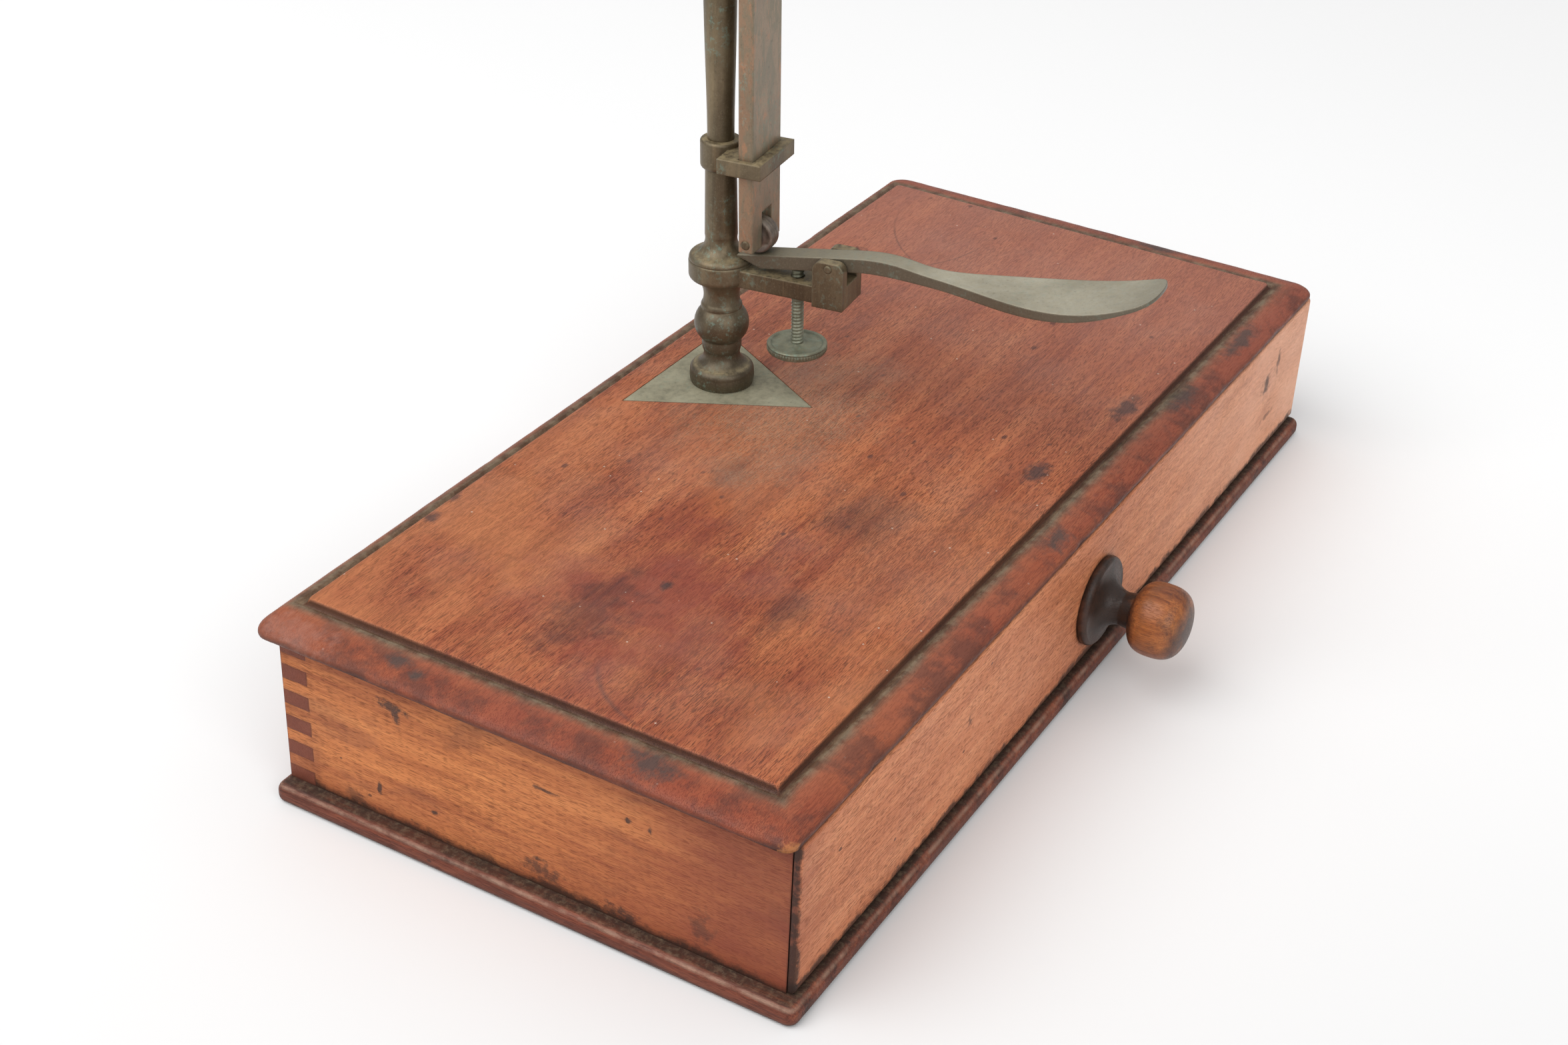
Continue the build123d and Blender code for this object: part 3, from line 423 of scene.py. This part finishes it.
def patina(
    name, tones, seed, cloud=(16, 16, 30), green=0.4, dust=0.7, rough=(0.36, 0.50), metal=0.6, coppery=0.0,
    worn=0.0, shade=None, side_shade=0.0, edge=(0.30, 0.24, 0.15), powder_colour=(0.30, 0.235, 0.125),
):
    """Aged brass: soft brown and olive clouds, tan wear, dust on top, pale rubbed edges, green specks, and painted
    shade in its nooks.

    shade, where given, is (axis, start, full, colour, strength); side_shade is painted shade on faces that are not
    level.
    """
    p = Paint(name)
    low, mid, high = tones
    clouds = p.noise(p.at(cloud, shift=(seed, 0, seed)), detail=5.0, rough=0.6, warp=0.3)
    mottle = p.noise(p.at((1.6, 1.6, 2.2), shift=(seed, 3, 1)), detail=5.0, rough=0.7)
    tone = p.calc("ADD", p.both(clouds, 0.8), p.both(mottle, 0.2))
    colour = p.ramp(tone, (0.38, low), (0.50, mid), (0.62, high))
    if worn:
        runs = p.noise(p.at((2.6, 2.6, 34), shift=(seed, 5, 2)), detail=5.0, rough=0.62)
        colour = p.mix(p.both(p.span(runs, 0.52, 0.68), worn), colour, (0.34, 0.245, 0.130))
        colour = p.mix(p.both(p.span(runs, 0.44, 0.34), worn), colour, (0.060, 0.044, 0.028))
    if coppery:
        warm = p.both(p.span(p.facing("X"), 0.0, 1.0, 0.30, 0.85), coppery)
        colour = p.mix(warm, colour, (0.27, 0.145, 0.080))
        tarnish = p.noise(p.at((3.0, 3.0, 9), shift=(seed, 1, 6)), detail=6.0, rough=0.7, warp=0.5)
        colour = p.mix(p.both(p.span(tarnish, 0.46, 0.56), 0.62), colour, (0.170, 0.160, 0.110))
        flush = p.noise(p.at((2.4, 2.4, 6), shift=(seed, 9, 2)), detail=5.0, rough=0.7)
        colour = p.mix(p.both(p.span(flush, 0.56, 0.64), 0.55), colour, (0.42, 0.20, 0.105))
    # a colour growing along an axis; on the column it is painted shade towards the base
    if shade:
        axis, start, full, dark, strength = shade
        colour = p.mix(p.both(p.span(p.coordinate(axis), start, full), strength), colour, dark)
    # painted shade: faces that are not level are darker than the top
    if side_shade:
        sides = p.both(p.calc("SUBTRACT", 1.0, p.facing("Z", 0.35, 0.85)), side_shade)
        colour = p.mix(sides, colour, (0.105, 0.086, 0.058))
    freckles = p.span(p.noise(p.at((0.8, 0.8, 1.0), shift=(0, seed, 3)), detail=3.0, rough=0.7), 0.58, 0.72)
    colour = p.mix(p.both(freckles, 0.35), colour, (0.050, 0.038, 0.026))
    # painted shade: darker in corners and crevices, from ambient occlusion; the same mask also gathers dust below
    corner = p.span(p.nooks(2.5), 0.2, 0.75)
    colour = p.mix(p.both(corner, 0.5), colour, (0.045, 0.034, 0.022))
    fine_dust = p.span(p.noise(p.at((0.5, 0.5, 0.5), shift=(4, seed, 3)), detail=3.0, rough=0.7), 0.54, 0.70)
    colour = p.mix(p.both(fine_dust, 0.18), colour, (0.36, 0.31, 0.215))
    bloom = p.noise(p.at((1.4, 1.4, 1.4), shift=(seed, seed, 8)), detail=5.0, rough=0.7)
    grown = p.noise(p.at((12, 12, 12), shift=(seed, 2, 8)), detail=2.0)
    verdigris = p.both(p.both(p.span(bloom, 0.54, 0.62), p.span(grown, 0.46, 0.6)), green)
    colour = p.mix(verdigris, colour, (0.175, 0.300, 0.245))
    settled = p.span(p.noise(p.at((1.8, 1.8, 1.8), shift=(2, seed, 1)), detail=6.0, rough=0.72), 0.36, 0.58)
    powder = p.both(p.both(settled, p.upward(0.72, 0.97)), dust)
    powder = p.calc("MAXIMUM", powder, p.both(p.both(corner, settled), dust * 0.35))
    colour = p.mix(powder, colour, powder_colour)
    rubbed = p.both(p.edges(0.45), p.span(clouds, 0.4, 0.6, 0.5, 1.0))
    colour = p.mix(p.both(rubbed, 0.6), colour, edge)
    cover = p.calc("MAXIMUM", powder, verdigris)
    roughness = p.calc("ADD", p.span(clouds, 0.3, 0.7, *rough), p.both(cover, 0.3))
    shine = p.both(p.calc("SUBTRACT", 1.0, cover), metal)
    p.tree.links.new(shine, p.shader.inputs["Metallic"])
    fine_relief = p.calc("SUBTRACT", p.both(settled, 0.2), p.both(freckles, 0.4))
    relief = p.calc("ADD", p.both(mottle, 0.6), fine_relief)
    normal = p.bump(relief, 0.03, p.rounded(0.55))
    return p.finish(colour, roughness, normal)


def paint(name, material):
    """Give a CAD node one material in place of its own."""
    mesh = frame["nodes"][name].data
    mesh.materials.clear()
    mesh.materials.append(material)


def finishes():
    """One finish for each material slot; a few nodes have their own."""
    left_face = -143.4  # x of the marks on the left side
    red_shade = (0.235, 0.055, 0.032)
    side_tones = ((0.66, 0.250, 0.082), (0.52, 0.176, 0.057), (0.33, 0.095, 0.033))
    drawer_tones = ((0.72, 0.296, 0.142), (0.60, 0.216, 0.098), (0.46, 0.148, 0.064))
    base_tones = ((0.285, 0.085, 0.042), (0.155, 0.044, 0.026), (0.042, 0.019, 0.015))
    back_tones = ((0.46, 0.150, 0.068), (0.34, 0.100, 0.048), (0.22, 0.060, 0.032))
    pine_tones = ((0.72, 0.54, 0.34), (0.64, 0.46, 0.28), (0.52, 0.35, 0.20))
    by_slot = {
        "top_mahogany": top_mahogany(),
        "side_mahogany": case_wood(
            "side_mahogany_worn", side_tones, "Y", 11.0, soot=(("Z", 7.2, 5.2),),
            ends=(
                ("Y", 8, -50, red_shade, 0.9), ("Z", 17, 5, red_shade, 0.75), ("Z", 37, 43, red_shade, 0.4),
                ("Y", -34, -64, (0.135, 0.032, 0.022), 0.6),
            ),
            marks=(
                ((left_face, 34, 36), (4, 5, 1.6), 0.85), ((left_face, -4, 9), (4, 6, 2.4), 0.7),
                ((left_face, -24, 7), (4, 5, 2.0), 0.8), ((left_face, -44, 12), (4, 3, 5), 0.5),
                ((left_face, 38.6, 12.7), (3, 0.8, 1.7), 0.9), ((left_face, 23.5, 12.2), (3, 1.5, 0.8), 0.9),
                ((left_face, -5.5, 30.9), (3, 3.4, 0.5), 0.8), ((left_face, 45.7, 7), (3, 3.2, 2.2), 0.5),
                ((left_face, 32.6, 34.2), (3, 1.2, 3.2), 0.85), ((left_face, -26, 32.2), (3, 0.8, 0.8), 0.9),
                ((left_face, -31.4, 31.7), (3, 0.8, 1.0), 0.9), ((left_face, -3.7, 11.9), (3, 1.6, 0.6), 0.8),
            ),
        ),
        "drawer_mahogany": case_wood(
            "drawer_mahogany_worn", drawer_tones, "X", 23.0, blotch=0.2,
            soot=(("X", -142.2, -143.2), ("Z", 8.0, 6.6)),
            ends=(("X", 10, 130, (0.88, 0.500, 0.340), 0.75), ("X", -128, -143, red_shade, 0.5)),
            marks=(
                ((113, -66, 29), (3.4, 4, 3.4), 0.8), ((121, -66, 33), (1.6, 4, 4), 0.7),
                ((-69, -66, 27), (1.4, 4, 1.8), 0.8), ((118, -66, 17), (5, 4, 1.0), 0.5),
            ),
            edge=0.5,
        ),
        "base_mahogany": case_wood(
            "base_mahogany_worn", base_tones, "Y", 31.0, blotch=0.92, end_grain=0.0, ledge=0.85,
        ),
        "drawer_pine": case_wood(
            "drawer_pine_aged", pine_tones, "Y", 53.0, blotch=0.1, end_grain=0.2, edge=0.3,
            pore_depth=0.03, pores_deep=0.15, rough=(0.55, 0.75), edge_colour=(0.45, 0.30, 0.18),
        ),
        "knob_wood": knob_wood(),
        "column_brass": patina(
            "column_brass_aged", ((0.088, 0.066, 0.039), (0.132, 0.102, 0.061), (0.190, 0.150, 0.092)), 2.0,
            # painted shade: the column darker towards its base
            worn=0.28, shade=("Z", 88, 58, (0.058, 0.045, 0.030), 0.6),
        ),
        "lever_brass": patina(
            "lever_brass_aged", ((0.30, 0.275, 0.205), (0.375, 0.350, 0.270), (0.44, 0.415, 0.325)), 12.0,
            # side_shade: painted shade on the lever's sides
            cloud=(22, 22, 22), green=0.2, dust=0.2, metal=0.4, side_shade=0.9, edge=(0.42, 0.37, 0.27),
            shade=("Y", -14, 14, (0.165, 0.143, 0.096), 0.75),
        ),
        "bar_brass": patina(
            "bar_brass_aged", ((0.19, 0.155, 0.110), (0.27, 0.215, 0.150), (0.34, 0.270, 0.190)), 21.0,
            green=0.4, dust=0.2, metal=0.4, coppery=0.8,
        ),
        "screw_steel": patina(
            "screw_steel_dull", ((0.13, 0.138, 0.098), (0.20, 0.212, 0.155), (0.29, 0.30, 0.225)), 33.0,
            cloud=(5, 5, 5), green=0.6, dust=0.35, powder_colour=(0.24, 0.205, 0.115),
        ),
    }
    for entry in frame["record"]["subparts"]:
        paint(entry["node"], by_slot[entry["material_slot"]])
    paint("back_board", case_wood("back_board_worn", back_tones, "X", 41.0))
    plate = patina(
        "foot_plate_dusty", ((0.150, 0.138, 0.088), (0.215, 0.200, 0.134), (0.295, 0.280, 0.195)), 5.0,
        cloud=(12, 12, 12), green=0.2, metal=0.2, rough=(0.5, 0.65), dust=0.45,
        powder_colour=(0.34, 0.31, 0.21),
    )
    paint("foot_plate", plate)
    return by_slot


# ------------------------------------------------------------- worked-up pieces
def make_piece(name, mesh_maker, node, body, material):
    """Put a bmesh into the scene in place of a CAD node."""
    mesh = bpy.data.meshes.new(name)
    bm = bmesh.new()
    mesh_maker(bm)
    bmesh.ops.recalc_face_normals(bm, faces=bm.faces)
    bm.to_mesh(mesh)
    bm.free()
    for face in mesh.polygons:
        face.use_smooth = True
    mesh.set_sharp_from_angle(angle=math.radians(SHARP_ANGLE))
    mesh.materials.append(material)
    piece = bpy.data.objects.new(name, mesh)
    bpy.context.scene.collection.objects.link(piece)
    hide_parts(node)
    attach(piece, body)


def rounded_rectangle(low, high, radii, step):
    """Points round a rectangle, anticlockwise from its near left corner; each corner has its own radius."""
    corners = (
        ((low[0], low[1]), (1, 1), 180, radii[0]),
        ((high[0], low[1]), (-1, 1), 270, radii[1]),
        ((high[0], high[1]), (-1, -1), 0, radii[2]),
        ((low[0], high[1]), (1, -1), 90, radii[3]),
    )
    corner_steps = 8
    arcs = []
    for (x, y), (to_x, to_y), start, radius in corners:
        arc = []
        for i in range(corner_steps + 1):
            angle = math.radians(start + 90 * i / corner_steps)
            middle = Vector((x + to_x * radius, y + to_y * radius))
            arc.append(middle + radius * Vector((math.cos(angle), math.sin(angle))))
        arcs.append(arc)
    points = []
    for i, arc in enumerate(arcs):
        points += arc
        start, end = arc[-1], arcs[(i + 1) % 4][0]
        for j in range(1, step[i % 2]):
            points.append(start.lerp(end, j / step[i % 2]))
    return points


def rough_at(place, size, seed=0.0, octaves=4):
    """Noise from about -1 to 1 at a place in mm, with features of a size in mm."""
    spot = Vector(place) / size + Vector((seed, seed * 0.7, seed * 1.3))
    return noise.fractal(spot, 1.0, 2.0, octaves)


def plate_corners():
    """The three corners of the triangular foot plate, in mm."""
    tops = [v.co * MM_PER_M for v in frame["nodes"]["foot_plate"].data.vertices]
    level = max(v.z for v in tops)
    tops = [v for v in tops if v.z > level - 0.01]
    middle = Vector(((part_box("foot_plate")[0][0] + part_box("foot_plate")[1][0]) * MM_PER_M / 2, 0, level))
    apart = 5.0  # vertices closer than this belong to one corner
    far = []
    for v in sorted(tops, key=lambda v: -abs(v.x - middle.x)):
        if all((v - other).length > apart for other in far):
            far.append(v)
    left_right = far[:2]
    front_tip = min(tops, key=lambda v: v.y)
    return [*left_right, front_tip]


def worn_top(bm):
    """The top board: moulding worn and chipped, open groove, softened field, recess for the plate."""
    low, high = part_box("top_board")
    low = Vector(low) * MM_PER_M
    high = Vector(high) * MM_PER_M
    groove_low = Vector((-FIELD_HALF_LENGTH - GROOVE, FIELD_FRONT - GROOVE))
    groove_high = Vector((FIELD_HALF_LENGTH + GROOVE, FIELD_BACK + GROOVE))
    shoulder = low.z + 1.0
    crest = high.z - 0.95
    recess = 1.2  # depth of the plate's place
    plate_room = 1.014  # size of the recess over the size of the plate
    outer_radii = (3.0, 5.5, 6.0, 3.8)
    groove_radius = 0.6
    step = (150, 70)
    worn_corner = 9.0  # how far the wear of the near corner reaches
    turn_width = 8.0  # where two sides meet, the outward direction turns over this width
    arc_steps = 14
    fades_from = 7  # ring at which the moulding's wear begins to fade
    worn_to = 13  # ring at which it is gone

    profile = [(0.05, low.z), (0.012, low.z + 0.3), (0.0, low.z + 0.65)]
    for i in range(arc_steps + 1):
        angle = math.radians(90 * i / arc_steps)
        profile.append((1 - math.cos(angle), shoulder + (crest - shoulder) * math.sin(angle)))
    rings = []
    for share, z in profile:
        radii = [r + (groove_radius - r) * share for r in outer_radii]
        near = low.xy.lerp(groove_low, share)
        far = high.xy.lerp(groove_high, share)
        rings.append([Vector((q.x, q.y, z)) for q in rounded_rectangle(near, far, radii, step)])
    floor_z = high.z - GROOVE_DEPTH - 0.4
    inside = (
        (0.35, floor_z + 0.5), (0.75, floor_z + 0.1), (1.15, floor_z), (1.5, floor_z + 0.25),
        (1.75, floor_z + 0.9), (1.9, high.z - 0.34), (2.1, high.z - 0.12), (2.5, high.z - 0.02),
        (3.0, high.z),
    )
    for inset, z in inside:
        by = Vector((inset, inset))
        radii = [groove_radius + 0.3 * inset] * 4
        loop = rounded_rectangle(groove_low + by, groove_high - by, radii, step)
        rings.append([Vector((q.x, q.y, z)) for q in loop])

    middle = (low + high) / 2
    near_corner = low.xy
    worn_rings = []
    for index, ring in enumerate(rings):
        share = index / (len(rings) - 1)
        ring_made = []
        for place in ring:
            out = Vector((place.x - middle.x, place.y - middle.y))
            reach_x = (high.x - low.x) / 2 - abs(out.x)
            reach_y = (high.y - low.y) / 2 - abs(out.y)
            lean = max(0.0, min(1.0, 0.5 + (reach_y - reach_x) / turn_width))
            push = Vector((math.copysign(lean, out.x), math.copysign(1 - lean, out.y), 0)).normalized()
            rub = 0.0
            if 1 <= index < worn_to:
                # full wear on the lower third of the moulding, fading to none near its crest
                weight = 1.0 - max(0, index - fades_from) / (worn_to - fades_from)
                rub = 0.10 + 0.16 * rough_at(place, 26, 2.0) + 0.10 * rough_at(place, 4.0, 5.0)
                bite = max(0.0, rough_at(place, 9.0, 9.0, 3) - 0.42)
                rub = (rub + 1.1 * bite) * weight
                away = (place.xy - near_corner).length
                if away < worn_corner:
                    rub += 0.9 * (1 - away / worn_corner) * (0.6 + 0.6 * abs(rough_at(place, 2.2, 4.0)))
            lifted = 0.0
            if 5 <= index < len(profile):
                lifted = 0.07 * rough_at(place, 12, 7.0) * math.sin(math.pi * share)
            elif len(profile) <= index < len(rings) - 1:
                lifted = 0.04 * rough_at(place, 6.0, 3.0)
            moved = place - push * max(0.0, rub) + Vector((0, 0, lifted))
            ring_made.append(bm.verts.new(moved * MM))
        worn_rings.append(ring_made)
    count = len(worn_rings[0])
    for outer, inner in zip(worn_rings, worn_rings[1:]):
        for i in range(count):
            after = (i + 1) % count
            bm.faces.new((outer[i], outer[after], inner[after], inner[i]))
    bm.faces.new(list(reversed(worn_rings[0])))

    corners = plate_corners()
    heart = sum(corners, Vector()) / 3
    loop = [heart + (c - heart) * plate_room for c in corners]
    loop.sort(key=lambda c: math.atan2(c.y - heart.y, c.x - heart.x))
    rim = [bm.verts.new(Vector((c.x, c.y, high.z)) * MM) for c in loop]
    sunk = [bm.verts.new(Vector((c.x, c.y, high.z - recess)) * MM) for c in loop]
    rim_edges = [bm.edges.new((rim[i], rim[(i + 1) % 3])) for i in range(3)]
    for i in range(3):
        after = (i + 1) % 3
        bm.faces.new((rim[i], rim[after], sunk[after], sunk[i]))
    bm.faces.new(sunk)
    last = worn_rings[-1]
    field_edges = [bm.edges.get((last[i], last[(i + 1) % count])) for i in range(count)]
    bmesh.ops.triangle_fill(bm, edges=field_edges + rim_edges, use_beauty=True)


def axis_frame(origin, axis):
    """Matrix of a place whose Z runs along an axis."""
    z = Vector(axis).normalized()
    x = Vector((0, 1, 0)).cross(z).normalized()
    y = z.cross(x)
    turn = Matrix((x, y, z)).transposed().to_4x4()
    return Matrix.Translation(origin) @ turn


def lathe(bm, place, profile, count, radius_at=None):
    """Closed turned shape; profile holds (radius, height) in mm, and its two ends are capped."""
    loops = []
    for ring, (radius, height) in enumerate(profile):
        loop = []
        for i in range(count):
            angle = 2 * math.pi * i / count
            r = radius_at(ring, angle, radius) if radius_at else radius
            local = Vector((r * math.cos(angle), r * math.sin(angle), height)) * MM
            loop.append(bm.verts.new(place @ local))
        loops.append(loop)
    for a, b in zip(loops, loops[1:]):
        for i in range(count):
            after = (i + 1) % count
            bm.faces.new((a[i], a[after], b[after], b[i]))
    bm.faces.new(loops[0])
    bm.faces.new(list(reversed(loops[-1])))


def screw_place():
    """The stop screw's lower end, its axis, and its length in mm."""
    low, high = (Vector(c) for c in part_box("stop_screw"))
    axis = Vector(joints["stop_screw_travel"]["axis"])
    middle = (low + high) / 2
    length = (high.z - low.z) * MM_PER_M
    return middle - axis * (length / 2) * MM, axis, length


def threaded_shank(bm):
    """The stop screw with a real helical thread and a plain rounded tip."""
    start, axis, length = screw_place()
    place = axis_frame(start, axis)
    outer = 1.62
    plain_top = 0.7
    rings_per_turn = 10
    sides = 40
    steps = round(length / THREAD_PITCH * rings_per_turn)
    profile = []
    for i in range(steps + 1):
        height = length * i / steps
        tip = max(0.0, (height - (length - plain_top)) / plain_top)
        profile.append((outer * math.sqrt(max(0.06, 1 - tip * tip * 0.94)), height))

    def with_thread(ring, angle, radius):
        height = profile[ring][1]
        phase = (height / THREAD_PITCH - angle / (2 * math.pi)) % 1.0
        ridge = abs(phase - 0.5) * 2
        fade = min(1.0, max(0.0, (length - plain_top - height) / 0.4))
        return radius - THREAD_DEPTH * ridge * fade

    lathe(bm, place, profile, sides, with_thread)


def knurled_head(bm):
    """The stop screw's head: knurled rim between two beads, dished on top."""
    low, high = (Vector(c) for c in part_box("stop_screw_head"))
    axis = Vector(joints["stop_screw_turn"]["axis"])
    radius = (high.x - low.x) / 2 * MM_PER_M
    half = 1.2  # half the head's thickness
    place = axis_frame((low + high) / 2, axis)
    profile = [
        (1.0, -half), (4.5, -half), (radius - 1.5, -half), (radius - 0.7, -half + 0.12),
        (radius - 0.3, -half + 0.42), (radius - 0.38, -half + 0.62), (radius - 0.05, -half + 0.70),
        (radius - 0.02, -0.2), (radius - 0.02, 0.25), (radius - 0.05, 0.42), (radius - 0.42, 0.50),
        (radius - 0.15, 0.66), (radius - 0.05, 0.88), (radius - 0.22, 1.10), (radius - 0.62, half),
        (radius - 1.05, half - 0.06), (radius - 1.30, half - 0.34), (radius - 1.55, half - 0.48),
        (4.2, half - 0.42), (2.7, half - 0.36), (2.2, half - 0.18), (1.9, half + 0.05), (1.5, half + 0.1),
    ]
    teeth = 60
    tooth_depth = 0.32
    points_per_tooth = 5
    knurled_rings = range(6, 10)

    def knurl(ring, angle, r):
        if ring in knurled_rings:
            return r - tooth_depth / 2 * (1 + math.cos(teeth * angle))
        return r

    lathe(bm, place, profile, teeth * points_per_tooth, knurl)


def turned_roller(bm):
    """The lever's roller: crowned rim with two turned lines and a raised hub."""
    low, high = (Vector(c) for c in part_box("lever_roller"))
    axis = Vector(joints["roller_spin"]["axis"])
    radius = (high.z - low.z) / 2 * MM_PER_M
    half = 2.2  # half the roller's width
    sides = 96
    place = axis_frame((low + high) / 2, axis)
    side = [
        (1.4, half), (2.1, half), (2.3, half - 0.12), (3.5, half - 0.12), (3.65, half - 0.02),
        (radius - 0.45, half - 0.02), (radius - 0.15, half - 0.2), (radius - 0.04, half - 0.6),
        (radius - 0.02, 0.75), (radius - 0.2, 0.65), (radius - 0.2, 0.5), (radius, 0.4),
    ]
    profile = side + [(r, -z) for r, z in reversed(side)]
    lathe(bm, place, profile, sides)


def worked_pieces(by_slot):
    """Replace the plain solids whose surface needs more than a finish."""
    screw = by_slot["screw_steel"]
    roller = patina(
        "roller_brass_aged", ((0.110, 0.085, 0.070), (0.175, 0.138, 0.115), (0.27, 0.225, 0.185)), 47.0,
        cloud=(4, 4, 4), green=0.2, dust=0.2,
    )
    jobs = (
        ("worn_top_board", worn_top, "top_board", "stand", by_slot["top_mahogany"]),
        ("threaded_stop_screw", threaded_shank, "stop_screw", "stop_screw", screw),
        ("knurled_screw_head", knurled_head, "stop_screw_head", "stop_screw_head", screw),
        ("turned_lever_roller", turned_roller, "lever_roller", "roller", roller),
    )
    for name, maker, node, body, material in jobs:
        make_piece(name, maker, node, body, material)


# ------------------------------------------------------------------- studio
def floor():
    """A wide pale floor with painted shade, a little darker towards the camera."""
    mesh = bpy.data.meshes.new("floor")
    reach = 6.0
    corners = [(-reach, -reach, 0), (reach, -reach, 0), (reach, reach, 0), (-reach, reach, 0)]
    mesh.from_pydata(corners, [], [(0, 1, 2, 3)])
    plane = bpy.data.objects.new("floor", mesh)
    bpy.context.scene.collection.objects.link(plane)
    p = Paint("floor_paper")
    camera_x, camera_y = -0.87, -0.49  # direction from the stand to the camera
    nearer = p.calc("ADD", p.both(p.coordinate("X"), camera_x), p.both(p.coordinate("Y"), camera_y))
    # painted shade: the floor darker towards the camera
    painted_shade_falloff = p.span(nearer, -80, 230, 0.89, 0.72)
    shade = p.both(painted_shade_falloff, p.span(p.noise(p.at((400, 400, 400)), detail=2.0), 0.3, 0.7, 0.99, 1.0))
    colour = p.node("ShaderNodeCombineColor", {0: shade, 1: shade, 2: shade}).outputs[0]
    mesh.materials.append(p.finish(colour, 0.9))


def area_light(name, place, target, size, power):
    """A round soft lamp that looks at a target."""
    light = bpy.data.lights.new(name, "AREA")
    light.shape = "DISK"
    light.size = size
    light.energy = power
    holder = bpy.data.objects.new(name, light)
    holder.location = place
    holder.rotation_euler = (Vector(target) - Vector(place)).to_track_quat("-Z", "Y").to_euler()
    bpy.context.scene.collection.objects.link(holder)


def studio():
    """White surround for the camera, a softer one for the light, and two soft lamps."""
    world = bpy.data.worlds.new("studio")
    bpy.context.scene.world = world
    world.use_nodes = True
    tree = world.node_tree
    tree.nodes.clear()
    out = tree.nodes.new("ShaderNodeOutputWorld")
    pick = tree.nodes.new("ShaderNodeMixShader")
    path = tree.nodes.new("ShaderNodeLightPath")
    seen = tree.nodes.new("ShaderNodeBackground")
    seen.inputs["Color"].default_value = (1.0, 1.0, 1.0, 1)
    glow = tree.nodes.new("ShaderNodeBackground")
    place = tree.nodes.new("ShaderNodeTexCoord")
    split = tree.nodes.new("ShaderNodeSeparateXYZ")
    ramp = tree.nodes.new("ShaderNodeValToRGB")
    ramp.color_ramp.elements[0].position = 0.0
    ramp.color_ramp.elements[0].color = (0.22, 0.22, 0.22, 1)
    ramp.color_ramp.elements[1].position = 0.75
    ramp.color_ramp.elements[1].color = (1.0, 1.0, 1.0, 1)
    glow.inputs["Strength"].default_value = 0.80
    tree.links.new(place.outputs["Generated"], split.inputs[0])
    tree.links.new(split.outputs["Z"], ramp.inputs["Fac"])
    tree.links.new(ramp.outputs["Color"], glow.inputs["Color"])
    tree.links.new(path.outputs["Is Camera Ray"], pick.inputs[0])
    tree.links.new(glow.outputs[0], pick.inputs[1])
    tree.links.new(seen.outputs[0], pick.inputs[2])
    tree.links.new(pick.outputs[0], out.inputs["Surface"])
    area_light("key", (-0.9, 0.5, 1.3), (0, 0, 0.08), 1.7, 19)
    area_light("fill", (-0.9, -1.3, 0.9), (0, 0, 0.1), 1.4, 10)
    bpy.context.scene.view_settings.view_transform = "Standard"


def camera():
    """The camera, at the photograph's angle."""
    lens = bpy.data.cameras.new("camera")
    lens.sensor_width = 36.0
    lens.lens = 53.2
    lens.clip_start = 0.01
    azimuth = math.radians(29.257)
    drop = math.radians(31.902)
    roll = math.radians(2.507)
    level = math.cos(drop)
    forward = Vector((level * math.cos(azimuth), level * math.sin(azimuth), -math.sin(drop)))
    right = Vector((math.sin(azimuth), -math.cos(azimuth), 0))
    up = right.cross(forward)
    right_rolled = math.cos(roll) * right + math.sin(roll) * up
    up_rolled = math.cos(roll) * up - math.sin(roll) * right
    holder = bpy.data.objects.new("camera", lens)
    turn = Matrix((right_rolled, up_rolled, -forward)).transposed().to_4x4()
    place = (-0.4458, -0.2283, 0.3301)
    holder.matrix_world = Matrix.Translation(place) @ turn
    bpy.context.scene.collection.objects.link(holder)
    bpy.context.scene.camera = holder


camera()
floor()
studio()
worked_pieces(finishes())
